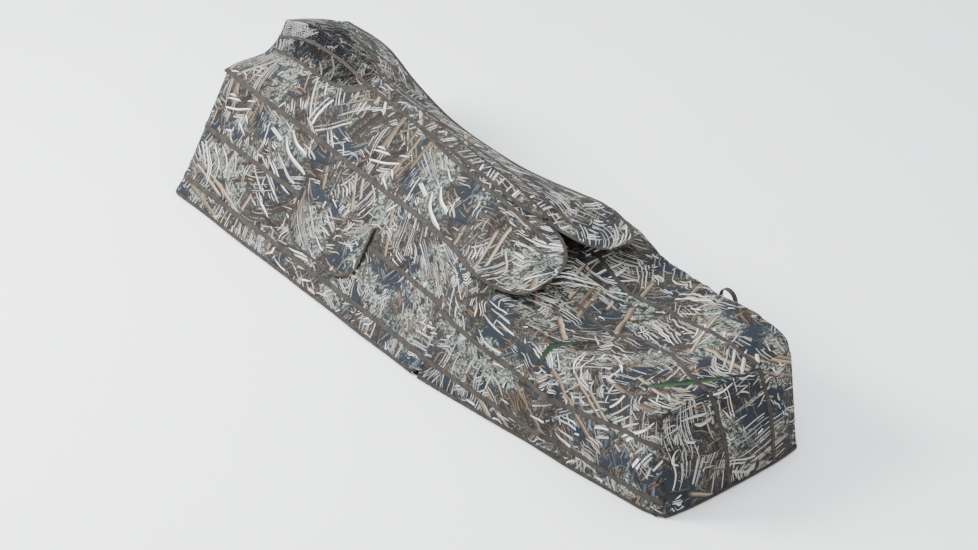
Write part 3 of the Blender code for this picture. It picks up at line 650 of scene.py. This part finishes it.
def head_shell():
    """Both side walls and the head end as one cloth, from the right kink round to the left."""
    shares = spread(0.0, 1.0, STEP / 0.46)
    places = spread(-LAP / (HEAD_BASE_END - FOLD_Y), 1.0, STEP / 1.25)
    rows = []
    for place in places:
        low_y = FOLD_Y + (HEAD_BASE_END - FOLD_Y) * place
        high_y = FOLD_Y + (HEAD_TOP_END - FOLD_Y) * place
        rows.append([wall_point(-1.0, low_y, high_y, share) for share in shares])
    corner = len(rows) - 1
    right_end, left_end = rows[-1], [point * (-1, 1, 1) for point in rows[-1]]
    for t in spread(0.0, 1.0, STEP / 0.66)[1:-1]:
        rows.append([a + (b - a) * t for a, b in zip(right_end, left_end)])
    far_corner = len(rows)
    rows += [[point * (-1, 1, 1) for point in row] for row in rows[corner::-1]]
    skin = Skin(rows)
    skin.soften(corner - 3, corner + 4)
    skin.soften(far_corner - 3, far_corner + 4)
    last, top = skin.rows - 1, skin.columns - 1

    def fold(i, j, point):
        share = j / top
        edge = min(smooth(0.0, 0.14, share), smooth(1.0, 0.86, share))
        near_corner = min(abs(i - corner), abs(i - far_corner)) / 14
        calm = smooth(0.0, 1.0, near_corner)
        wave = ripple(i * STEP, share * 0.45, 3.0, 6.0, 9.0) * 0.0060
        pull = math.sin(i * STEP * 34 + share * 6) * 0.0016 * (1 - share)
        flare = 0.008 * (1 - smooth(0.0, 0.16, share)) * (0.4 + 0.6 * noise.noise(
            Vector((i * STEP * 5, 0.0, 4.0))))
        sag = -0.006 * math.sin(math.pi * share)
        return (wave + pull + sag) * edge * (0.35 + 0.65 * calm) + flare

    skin.push(fold)
    skin.corner, skin.far_corner, skin.last, skin.top = corner, far_corner, last, top
    return skin


PORT_PLACES = (0.36, 0.56)    # ends of the flag port, as shares of the wall's length
PORT_SHARES = (0.33, 0.66)    # and its bottom and top, as shares of the wall's height
FLAP_SHARES = (0.235, 0.725)  # the flap's bottom and top
KINK_RADIUS = 0.055
# Heights of the straps round the head half, at the kink and at the head, as shares of the wall.
HEAD_STRAPS = (("low", 0.165, 0.150), ("middle", 0.585, 0.560))


def build_head():
    skin = head_shell()

    def rounded_kink(i, j):
        """The lower corner of each wall at the kink is cut round."""
        from_kink = min(i, skin.last - 1 - i) * STEP
        height = j / skin.top * 0.40
        if from_kink >= KINK_RADIUS or height >= KINK_RADIUS:
            return False
        return math.hypot(KINK_RADIUS - from_kink, KINK_RADIUS - height) > KINK_RADIUS

    def port(i, j):
        place = min(i, skin.last - 1 - i) / skin.corner
        share = j / skin.top
        return PORT_PLACES[0] < place < PORT_PLACES[1] and PORT_SHARES[0] < share < PORT_SHARES[1]

    wall = skin.sheet("head_cloth", CAMO, skip=lambda i, j: rounded_kink(i, j) or port(i, j))
    on_head(wall)
    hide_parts("head_side_right", "head_side_left", "head_end_panel")
    inset = 0.1 * LAP / STEP
    for label, at_kink, at_head in HEAD_STRAPS:
        chain = [(inset, at_kink * skin.top), (skin.corner, at_head * skin.top),
                 (skin.far_corner, at_head * skin.top), (skin.last - inset, at_kink * skin.top)]
        sew(on_head, "head_strap_" + label, skin.route(chain))
    hem = [(i, 0.9) for i in np.linspace(5, skin.last - 5, 6)]
    bind(on_head, "head_hem", skin.route(hem))
    for name, start, way in (("right", 0, 1), ("left", skin.last, -1)):
        edge = [(start, 0.22 * skin.top), (start + way * 0.8, 0.98 * skin.top)]
        bind(on_head, "kink_binding_" + name, skin.route(edge))
        build_port(skin, name, start, way)


def build_port(skin, name, start, way):
    """The bound flag port in the wall and the flap that hangs over it."""
    first, last = (start + way * place * skin.corner for place in PORT_PLACES)
    bottom, top = (share * skin.top for share in PORT_SHARES)
    loop = [(first, bottom), (last, bottom), (last, top), (first, top), (first, bottom)]
    bind(on_head, "port_binding_" + name, skin.route(loop), BIND_WIDTH * NARROW)
    node = "flag_port_flap_" + name
    box_low, box_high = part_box(node)
    start_y, end_y = box_low[1] + 0.001, box_high[1] - 0.001
    side = -1.0 if name == "right" else 1.0
    rows = []
    for t in spread(0.0, 1.0, 1 / 46):
        y = start_y + (end_y - start_y) * t
        shoulder_x, shoulder_z = along(SHOULDER, y)
        out = np.array((side * shoulder_z, 0.0, half_width(y) - shoulder_x))
        out /= np.linalg.norm(out)
        low = FLAP_SHARES[0] + 0.16 * abs(2 * t - 1)**5
        row = []
        for s in spread(0.0, 1.0, 1 / 26):
            share = low + (FLAP_SHARES[1] - low) * s
            puff = 0.0026 + 0.0040 * math.sin(math.pi * t) * (1 - s)**2
            puff += 0.0014 * ripple(y, share, 41.0 + side, 14.0, 9.0)
            row.append(wall_point(side, y, y, share) + out * max(puff, 0.0020))
        rows.append(row)
    flap = Skin(rows)
    cloth = flap.sheet("flap_cloth_" + name, CAMO, shift=(0.7, 0.4))
    on_flap(cloth, name)
    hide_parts(node)
    end_row, end_column = flap.rows - 1, flap.columns - 1
    edge = [(0.6, end_column), (0.6, 0.8), (end_row - 0.6, 0.8), (end_row - 0.6, end_column)]
    bind(partial(on_flap, name=name), "flap_binding_" + name, flap.route(edge),
         BIND_WIDTH * NARROW, 0.0010)


# ---- doors --------------------------------------------------------------------------------
# The free rounded end of each door: where it starts, its tip, and its outer and inner edges.
LOBE = {"right": (-0.270, -0.446, 0.272, 0.003), "left": (-0.285, -0.458, 0.236, -0.008)}
DOOR_HEAD_Y = 1.040
DOOR_COLUMNS = 34
GABLE_Z = 0.416           # the doors' short walls at the head end reach down to here
LAP_X = -0.030            # the left door laps over the right one to here


def door_outline(name, y):
    """Outer and inner distance from the middle at y, past the lobe's start as an arc."""
    lobe_y, tip_y, outer, inner = LOBE[name]
    if y >= lobe_y:
        edge = along(SHOULDER, y)[0] + 0.002
        if y < lobe_y + 0.12:
            edge += (outer - along(SHOULDER, lobe_y)[0] - 0.002) * smooth(lobe_y + 0.12, lobe_y, y)
        return edge, inner
    t = min((lobe_y - y) / (lobe_y - tip_y), 1.0)
    reach = 0.5 * (outer - inner) * (1 - t**2.4)**(1 / 2.4)
    middle = 0.5 * (outer + inner)
    return middle + reach, middle - reach


def window_edge(name, y):
    """Where the door's cloth ends and its net begins."""
    rows = WINDOW[name]
    return 0.0 if y < rows[0][0] else along(rows, y)[0]


def door_surface(name, side, x, y):
    """Height of a door's cloth, with the free rounded end lifted off the foot half."""
    z = door_height(side * x, y)
    lobe_y, tip_y, outer, _ = LOBE[name]
    free = smooth(lobe_y + 0.06, tip_y, y)
    z += free * (0.010 + (0.012 if name == "left" else 0.0))
    if name == "left":
        z += 0.0035 * smooth(0.10, 0.0, x)
    rim = smooth(0.80, 1.0, x / max(outer, 1e-3)) * smooth(lobe_y + 0.10, lobe_y - 0.04, y)
    return z + 0.010 * rim


def door_rows(name):
    """Places along a door, closer together round its free end."""
    lobe_y, tip_y = LOBE[name][:2]
    reach = lobe_y - tip_y
    ends = [lobe_y - reach * math.sin(math.pi / 2 * t) for t in spread(1.0, 0.0, 1 / 30)][:-1]
    return ends + spread(lobe_y, DOOR_HEAD_Y, FINE_STEP)


def hang_gable(rows):
    """Carry the last row down as the door's short wall at the head end."""
    last = rows[-1]
    for forward, share in ((0.004, 0.88), (0.006, 0.60), (0.007, 0.30), (0.008, 0.0)):
        rows.append([(point[0], point[1] + forward,
                      min(GABLE_Z, point[2]) + max(point[2] - GABLE_Z, 0.0) * share)
                     for point in last])
    return rows


def build_door(name, side):
    count = DOOR_COLUMNS
    rows, seed = [], 5.0 if name == "right" else 8.0
    places = door_rows(name)
    for y in places:
        outer, inner = door_outline(name, y)
        if y > LOBE[name][0]:
            inner = max(window_edge(name, y), inner)
        rows.append([(side * x, y, door_surface(name, side, x, y))
                     for x in [outer + (inner - outer) * j / count for j in range(count + 1)]])
    skin = Skin(hang_gable(rows))

    def fold(i, j, point):
        x, y = abs(point[0]), point[1]
        edge = smooth(0.0, 0.10, j / count) * smooth(1.0, 0.90, j / count)
        head = smooth(1.0, 0.9, y)
        wave = ripple(y, x, seed, 6.5, 12.0) * 0.0042
        if name == "left":
            wave += ripple(y, x, seed + 3, 22.0, 5.0) * 0.0035 * smooth(0.70, 0.95, y)
        pleat = math.sin(x * 60 + 2.0 * noise.noise(Vector((y * 4, x * 3, seed)))) * 0.0012
        return (wave + pleat) * (0.25 + 0.75 * edge) * (0.3 + 0.7 * head)

    skin.push(fold)
    cloth = skin.sheet("door_cloth_" + name, CAMO, shift=(0.35 if side < 0 else 1.9, 0.3))
    on_door(cloth, name, side)
    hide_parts("door_cover_" + name, "door_end_" + name)
    build_door_trim(skin, name, side, places)
    build_net(name, side)


def build_door_trim(skin, name, side, places):
    """Bindings round the door and the strap sewn along it."""
    on_this = partial(on_door, name=name, side=side)
    count = DOOR_COLUMNS
    lobe_rows = sum(1 for y in places if y < LOBE[name][0])
    last_row = len(places) - 1
    outer_edge = [(i, 0.6) for i in range(last_row, 0, -3)]
    sew(on_this, "door_edging_" + name, skin.route(outer_edge[:-lobe_rows // 3]),
        thickness=0.0016)
    lobe = [(i, 0.5) for i in range(lobe_rows + 6, 0, -2)]
    lobe += [(0.4, j) for j in (2, 8, 16, 24, 31)]
    lobe += [(i, count - 0.5) for i in range(1, lobe_rows + 2, 2)]
    bind(on_this, "door_end_binding_" + name, skin.route(lobe))
    seam = [(i, count - 0.7) for i in range(1, last_row - 1, 3) if i > lobe_rows]
    bind(on_this, "door_inner_binding_" + name, skin.route(seam))
    strap = []
    for i in range(lobe_rows - 8, last_row, 4):
        y = places[i]
        outer, inner = door_outline(name, y)
        if y > WINDOW[name][0][0] + 0.075:
            break
        x = 0.052 - 0.030 * smooth(-0.1, 0.55, y)
        strap.append((i, count * (outer - x) / (outer - inner)))
    sew(on_this, "door_strap_" + name, skin.route(strap), WEB_WIDTH * NARROW)


def build_net(name, side):
    """The knotted face net in a door's window."""
    count = NET_COLUMNS
    rows = []
    for y in spread(WINDOW[name][0][0] + 0.004, DOOR_HEAD_Y, NET_CELL):
        outer = max(window_edge(name, y), 0.004)
        rows.append([(side * x, y, door_surface(name, side, x, y) - 0.0012)
                     for x in [outer * (1 - j / count) for j in range(count + 1)]])
    skin = Skin(hang_gable(rows))
    skin.push(lambda i, j, point: 0.0030 * ripple(point[1], point[0], 17.0 + side, 9.0, 12.0)
              * math.sin(math.pi * j / count))
    net = skin.sheet("face_net_" + name, NET_CAMO, shift=(0.9, 0.2))
    net.modifiers.clear()
    wire = net.modifiers.new("net", "WIREFRAME")
    wire.thickness = NET_WIRE
    wire.use_even_offset = False
    wire.use_replace = True
    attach(net, "door_" + name)
    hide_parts("face_mesh_" + name)


def build_lap():
    """The strip of the left door that lies over the right one along the ridge."""
    rows = []
    for y in spread(-0.27, DOOR_HEAD_Y - 0.004, FINE_STEP):
        reach = LAP_X * smooth(-0.30, -0.18, y) - 0.004
        row = []
        for j in range(9):
            x = 0.006 + (reach - 0.006) * j / 8
            under = ("left", 1.0, x) if x > 0.0 else ("right", -1.0, -x)
            row.append((x, y, door_surface(*under, y) + (0.0010 if x > 0.0 else 0.0046)))
        rows.append(row)
    skin = Skin(rows)
    cloth = skin.sheet("door_lap", CAMO, shift=(1.9, 0.52),
                       skip=lambda i, j: skin.points[i, j, 1] > WINDOW["left"][0][0])
    edge = skin.route([(1, 7.6), (skin.rows - 1, 7.6)])
    binding = ribbon("door_lap_binding", edge, BIND_WIDTH, HEM)
    for piece, slot in ((cloth, "camo_fabric"), (binding, "webbing")):
        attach(piece, "door_left")
        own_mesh(piece)


# ---- foot half ----------------------------------------------------------------------------
def corner_tuck(y):
    """How far the cover is drawn in towards the rounded corners of the foot end."""
    past = max(-1.015 - y, 0.0) / 0.078
    return 1.0 - 0.075 * past**2


def foot_shell():
    """Side walls and top of the foot half as one cloth, from the kink to the foot arch."""
    wall_count, top_count = 42, 62
    rows = []
    for place in spread(0.0, 1.0, STEP / 0.90):
        low_y = FOLD_Y - 0.004 + (FOOT_BASE_END - FOLD_Y) * place
        high_y = FOLD_Y - 0.004 + (FOOT_TOP_END - FOLD_Y) * place
        shoulder_x = along(SHOULDER, high_y)[0]
        right = []
        for j in range(wall_count):
            point = wall_point(-1.0, low_y, high_y, j / wall_count)
            right.append(point * (corner_tuck(point[1] - 0.03 * j / wall_count), 1, 1))
        top = []
        for j in range(top_count + 1):
            x = shoulder_x * (2 * j / top_count - 1)
            top.append(np.array((x * corner_tuck(high_y - 0.03), high_y,
                                 foot_top_height(x, high_y))))
        left = [point * (-1, 1, 1) for point in right[::-1]]
        rows.append(right + top + left)
    skin = Skin(rows)
    for _ in range(5):
        inner = skin.points[:, 1:-1]
        skin.points[:, 1:-1] = (0.5 * inner + 0.25 * (skin.points[:, :-2]
                                                      + skin.points[:, 2:]))
    skin.measure()
    skin.wall_count, skin.top_count = wall_count, top_count
    return skin


def build_foot():
    skin = foot_shell()
    last = skin.rows - 1
    columns = skin.columns - 1

    def fold(i, j, point):
        y = point[1]
        ends = smooth(0, 6, i) * smooth(last, last - 6, i)
        hem = smooth(0, 6, j) * smooth(columns, columns - 6, j)
        wave = ripple(y, j * STEP, 13.0, 7.0, 5.5) * 0.0110
        sag = math.exp(-((y + 0.66) / 0.15)**2)
        cross = ripple(y * 1.4, point[0] * 0.6, 21.0, 17.0, 3.0) * 0.0100 * sag
        flare = 0.006 * (1 - hem) * (0.5 + noise.noise(Vector((y * 6, point[0], 2.0))))
        return (wave + cross) * (0.2 + 0.8 * ends) * hem + flare

    skin.push(fold)
    cloth = skin.sheet("foot_cloth", CAMO, shift=(2.6, 1.1))
    on_foot(cloth)
    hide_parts("foot_side_right", "foot_side_left", "foot_top")
    end = foot_end(skin)
    end_cloth = end.sheet("foot_end_cloth", CAMO, shift=(0.2, 2.4))
    on_foot(end_cloth)
    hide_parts("foot_end_panel")
    build_foot_straps(skin, end)


def foot_end(shell):
    """The end cloth: it fills the shell's last row down to the ground and bulges outwards."""
    last, top_first = shell.rows - 1, shell.wall_count
    top_last = top_first + shell.top_count
    rows = []
    for t in spread(0.0, 1.0, STEP / 0.36):
        right = shell.at(last, (1 - t) * top_first)[0]
        left = shell.at(last, top_last + t * (shell.columns - 1 - top_last))[0]
        row = []
        for u in spread(0.0, 1.0, STEP / 0.56):
            point = shell.at(last, top_first + u * shell.top_count)[0]
            if rows:
                crown = point - (rows[0][0] * (1 - u) + rows[0][-1] * u)
                point = right * (1 - u) + left * u + crown * (1 - t)**2
            out = (0.020 * math.sin(math.pi * t**0.8) + 0.014 * t) * (1 - abs(2 * u - 1)**3.5)
            row.append(point - np.array((0.0, out, 0.0)))
        rows.append(row)
    skin = Skin(rows)
    skin.face((0.0, -1.0, 0.0))

    def fold(i, j, point):
        rim = math.sin(math.pi * i / (skin.rows - 1)) * math.sin(math.pi * j / (skin.columns - 1))
        return 0.0080 * ripple(point[0], point[2], 33.0, 8.0, 7.0) * rim + 0.0006

    skin.push(fold)
    skin.face((0.0, -1.0, 0.0))
    return skin


def foot_place(skin, x, y):
    """Row and column of the foot shell nearest a place on its top."""
    top = skin.points[:, skin.wall_count:skin.wall_count + skin.top_count + 1]
    far = (top[..., 0] - x)**2 + (top[..., 1] - y)**2
    row, column = np.unravel_index(np.argmin(far), far.shape)
    return float(row), float(column + skin.wall_count)


# Places (x, y) that the straps on top of the foot half run through.
TOP_STRAPS = {
    "right": [(-0.085, -0.50), (-0.082, -0.66), (-0.034, -0.75), (-0.043, -0.87),
              (-0.078, -0.98), (-0.070, -1.045)],
    "left": [(0.090, -0.40), (0.079, -0.55), (0.113, -0.685), (0.108, -0.93),
             (0.104, -1.00), (0.120, -1.045)],
}
# Heights of the straps along its sides, from the kink to the foot end, as shares of the wall.
SIDE_STRAPS = (("low", (0.165, 0.150, 0.150)), ("middle", (0.560, 0.530, 0.690)))


def build_foot_straps(skin, end):
    last, columns = skin.rows - 1, skin.columns - 1
    for name, places in TOP_STRAPS.items():
        chain = [foot_place(skin, x, y) for x, y in places]
        middle = (end.columns - 1) / 2
        start = middle * (1 + places[-1][0] / 0.255)
        finish = middle * (1 + (places[-1][0] + 0.045) / 0.275)
        down = end.route([(0.5, start), ((end.rows - 1) * 0.5, (start + finish) / 2 + 0.6),
                          (end.rows - 1.4, finish)])
        sew(on_foot, "foot_strap_" + name, skin.route(chain) + down[1:], WEB_WIDTH * 0.85)
    for name, flip in (("right", False), ("left", True)):
        for label, shares in SIDE_STRAPS:
            chain = []
            for place, share in zip((0.0, 0.55, 0.995), shares):
                column = share * skin.wall_count
                chain.append((place * last, columns - column if flip else column))
            sew(on_foot, "foot_strap_" + label + "_" + name, skin.route(chain))
        hem_column = columns - 0.9 if flip else 0.9
        bind(on_foot, "foot_hem_" + name, skin.route([(0.5, hem_column), (last, hem_column)]))
    low_edge = [(end.rows - 1.8, 1), (end.rows - 1.8, end.columns - 2)]
    bind(on_foot, "foot_end_hem", end.route(low_edge))


def build_handle():
    """Webbing carry loop on the left shoulder of the foot half."""
    low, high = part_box("foot_handle")
    x = 0.5 * (low[0] + high[0])
    path = []
    for t in spread(0.0, math.pi, math.pi / 28):
        y = 0.5 * (low[1] + high[1]) - (high[1] - low[1] - 0.008) / 2 * math.cos(t)
        z = low[2] + 0.010 + (high[2] - low[2] - 0.014) * math.sin(t)**0.55
        normal = np.array((0.0, -math.cos(t), math.sin(t) + 0.2))
        path.append((np.array((x, y, z)), normal / np.linalg.norm(normal)))
    handle = sew(on_foot, "carry_loop", path, 0.016, thickness=0.0022)
    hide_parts("foot_handle")


# ---- floor and pads -----------------------------------------------------------------------
def build_floor(name, node, start_y, end_y, body, seed):
    """The coated floor cloth of one half. The ends of the half are at start_y and end_y."""
    rows = []
    for y in spread(start_y, end_y, 0.018):
        reach = half_width(y) - 0.006
        rows.append([(reach * s, y, HEM_Z + 0.0006 * noise.noise(Vector((s * 4, y * 9, seed))))
                     for s in spread(-1.0, 1.0, 0.045)])
    skin = Skin(rows)
    skin.normals = np.tile(np.array((0.0, 0.0, 1.0)), skin.points.shape[:2] + (1,))
    cloth = skin.sheet(name, FLOOR_CLOTH, thickness=0.0016)
    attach(cloth, body)
    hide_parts(node)


def build_pad(name, node, body, place, half, length, thick, channels):
    """A sewn cushion: crowned top, pulled-in sides, sewn channels and a piped seam.

    place(x, d, h) maps across, along and up to a point in the blind.
    """
    across, down = 40, 52
    top, bottom, rim = [], [], []
    for i in range(down + 1):
        b = 2 * i / down - 1
        top_row, bottom_row = [], []
        for j in range(across + 1):
            a = 2 * j / across - 1
            x = a * half * (1 - 0.035 * (1 - b * b))
            d = length / 2 * (1 + b * (1 - 0.025 * (1 - a * a)))
            crown = ((1 - abs(a)**5) * (1 - abs(b)**5))**0.45
            groove = sum(math.exp(-((b - c) * length / 2 / 0.010)**2) for c in channels)
            pucker = 0.06 * noise.noise(Vector((a * 9, b * 11, half * 50)))
            lift = crown * (1 - 0.42 * groove * (1 - abs(a)**6)) * (1 + pucker * (1 + groove))
            top_row.append(place(x, d, thick * (0.34 + 0.66 * lift)))
            bottom_row.append(place(x, d, thick * (0.34 - 0.33 * min(1.0, crown * 1.6))))
        top.append(top_row)
        bottom.append(bottom_row)
    points = [p for row in top for p in row] + [p for row in bottom for p in row]
    wide, offset = across + 1, (down + 1) * (across + 1)
    faces = []
    for i in range(down):
        for j in range(across):
            a = i * wide + j
            faces.append((a, a + 1, a + wide + 1, a + wide))
            faces.append((offset + a, offset + a + wide, offset + a + wide + 1, offset + a + 1))
    flat = [(i * length / down, j * 2 * half / across)
            for _ in range(2) for i in range(down + 1) for j in range(across + 1)]
    item = mesh_piece(name, points, faces, PAD_CLOTH, flat)
    weld = item.modifiers.new("seam", "WELD")
    weld.merge_threshold = 0.0001
    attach(item, body)
    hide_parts(node)
    rim = top[0][:-1] + [row[-1] for row in top[:-1]] + top[-1][:0:-1] + [r[0] for r in top[:0:-1]]
    piping = bpy.data.curves.new(name + "_piping", "CURVE")
    piping.dimensions = "3D"
    piping.bevel_depth = 0.0022
    piping.bevel_resolution = 2
    spline = piping.splines.new("POLY")
    spline.points.add(len(rim) - 1)
    for point, where in zip(spline.points, rim):
        point.co = (*where, 1.0)
    spline.use_cyclic_u = True
    piping.materials.append(PLASTIC)
    cord = bpy.data.objects.new(name + "_piping", piping)
    bpy.context.collection.objects.link(cord)
    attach(cord, body)


BACK_ANGLE = 27.0         # of the backrest at rest


def build_pads():
    seat_low, seat_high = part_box("seat_pad")
    boot_low, boot_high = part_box("boot_mat")

    def on_ground(low, high, flat_bottom):
        def place(x, d, h):
            return (x, low[1] + d, low[2] + flat_bottom + h)
        return place

    build_pad("seat_cushion", "seat_pad", "head_base", on_ground(seat_low, seat_high, 0.0),
              seat_high[0] - 0.003, seat_high[1] - seat_low[1], seat_high[2] - seat_low[2],
              (-0.34, 0.34))
    build_pad("boot_cushion", "boot_mat", "foot_base", on_ground(boot_low, boot_high, 0.0),
              boot_high[0] - 0.003, boot_high[1] - boot_low[1], boot_high[2] - boot_low[2],
              (-0.5, 0.0, 0.5))
    hinge = next(j for j in frame["joints"] if j["name"] == "backrest_recline")
    pivot_y, pivot_z = hinge["pos_m"][1], hinge["pos_m"][2]
    angle = math.radians(BACK_ANGLE)

    def on_back(start, rise):
        def place(x, d, h):
            run, lift = start + d, rise + h
            return (x, pivot_y + run * math.cos(angle) - lift * math.sin(angle),
                    pivot_z + run * math.sin(angle) + lift * math.cos(angle))
        return place

    build_pad("back_cushion", "back_pad", "backrest", on_back(0.031, 0.0090), 0.129, 0.468,
              0.0228, (-0.5, 0.0, 0.5))
    build_pad("pillow_cushion", "head_pillow", "backrest", on_back(0.401, 0.0330), 0.119, 0.118,
              0.0445, ())


# ---- camera, light and floor --------------------------------------------------------------
CAMERA_AZIMUTH, CAMERA_ELEVATION, CAMERA_DISTANCE = -38.4, 35.9, 9.0
CAMERA_TARGET = (-0.043, -0.05, 0.15)
CAMERA_LENS = 110.4
# Each light: name, place, size and power in watts. All of them face the blind.
LIGHTS = (("key", (-2.8, 2.2, 3.4), 1.8, 580.0), ("top", (0.4, -0.4, 4.2), 3.0, 170.0),
          ("front", (-2.6, -2.6, 2.2), 2.4, 25.0))
LAMP_COLOUR = (0.95, 0.975, 1.0)
SKY_COLOUR, SKY_STRENGTH = (0.92, 0.96, 1.0, 1.0), 1.35
GROUND_REACH, GROUND_Z = 14.0, -0.0015


def build_studio():
    azimuth, elevation = math.radians(CAMERA_AZIMUTH), math.radians(CAMERA_ELEVATION)
    back = Vector((math.sin(azimuth) * math.cos(elevation),
                   -math.cos(azimuth) * math.cos(elevation), math.sin(elevation)))
    camera_data = bpy.data.cameras.new("camera")
    camera_data.lens = CAMERA_LENS
    camera_data.sensor_width = 36.0
    camera = bpy.data.objects.new("camera", camera_data)
    camera.location = Vector(CAMERA_TARGET) + back * CAMERA_DISTANCE
    camera.rotation_euler = back.to_track_quat("Z", "Y").to_euler()
    bpy.context.collection.objects.link(camera)
    bpy.context.scene.camera = camera
    for name, place, size, energy in LIGHTS:
        lamp = bpy.data.lights.new(name, "AREA")
        lamp.shape = "SQUARE"
        lamp.size = size
        lamp.energy = energy
        lamp.color = LAMP_COLOUR
        item = bpy.data.objects.new(name, lamp)
        item.location = place
        item.rotation_euler = Vector(place).to_track_quat("Z", "Y").to_euler()
        bpy.context.collection.objects.link(item)
    world = bpy.data.worlds.new("studio")
    world.use_nodes = True
    sky = world.node_tree.nodes["Background"]
    sky.inputs[0].default_value = SKY_COLOUR
    sky.inputs[1].default_value = SKY_STRENGTH
    bpy.context.scene.world = world
    ground = bpy.data.meshes.new("ground")
    corners = [(x * GROUND_REACH, y * GROUND_REACH, GROUND_Z)
               for x, y in ((-1, -1), (1, -1), (1, 1), (-1, 1))]
    ground.from_pydata(corners, [], [(0, 1, 2, 3)])
    graph = Graph("pale_floor", 0.9)
    where = graph.add("ShaderNodeTexCoord").outputs["Object"]
    graph.colour(graph.mix(graph.noise(where, 2.0, 3.0), rgb(0.86, 0.86, 0.86),
                           rgb(0.90, 0.90, 0.90)))
    ground.materials.append(graph.material)
    floor = bpy.data.objects.new("ground", ground)
    bpy.context.collection.objects.link(floor)


# ---- everything ---------------------------------------------------------------------------
build_studio()
finish_hard_nodes()
build_head()
for side_name, side_sign in SIDES:
    build_door(side_name, side_sign)
build_lap()
build_foot()
build_handle()
build_floor("head_floor_cloth", "head_floor", FOLD_Y + 0.006, HEAD_BASE_END - 0.006, "head_base",
            1.0)
build_floor("foot_floor_cloth", "foot_floor", FOLD_Y - 0.006, FOOT_BASE_END + 0.016, "foot_base",
            2.0)
build_pads()
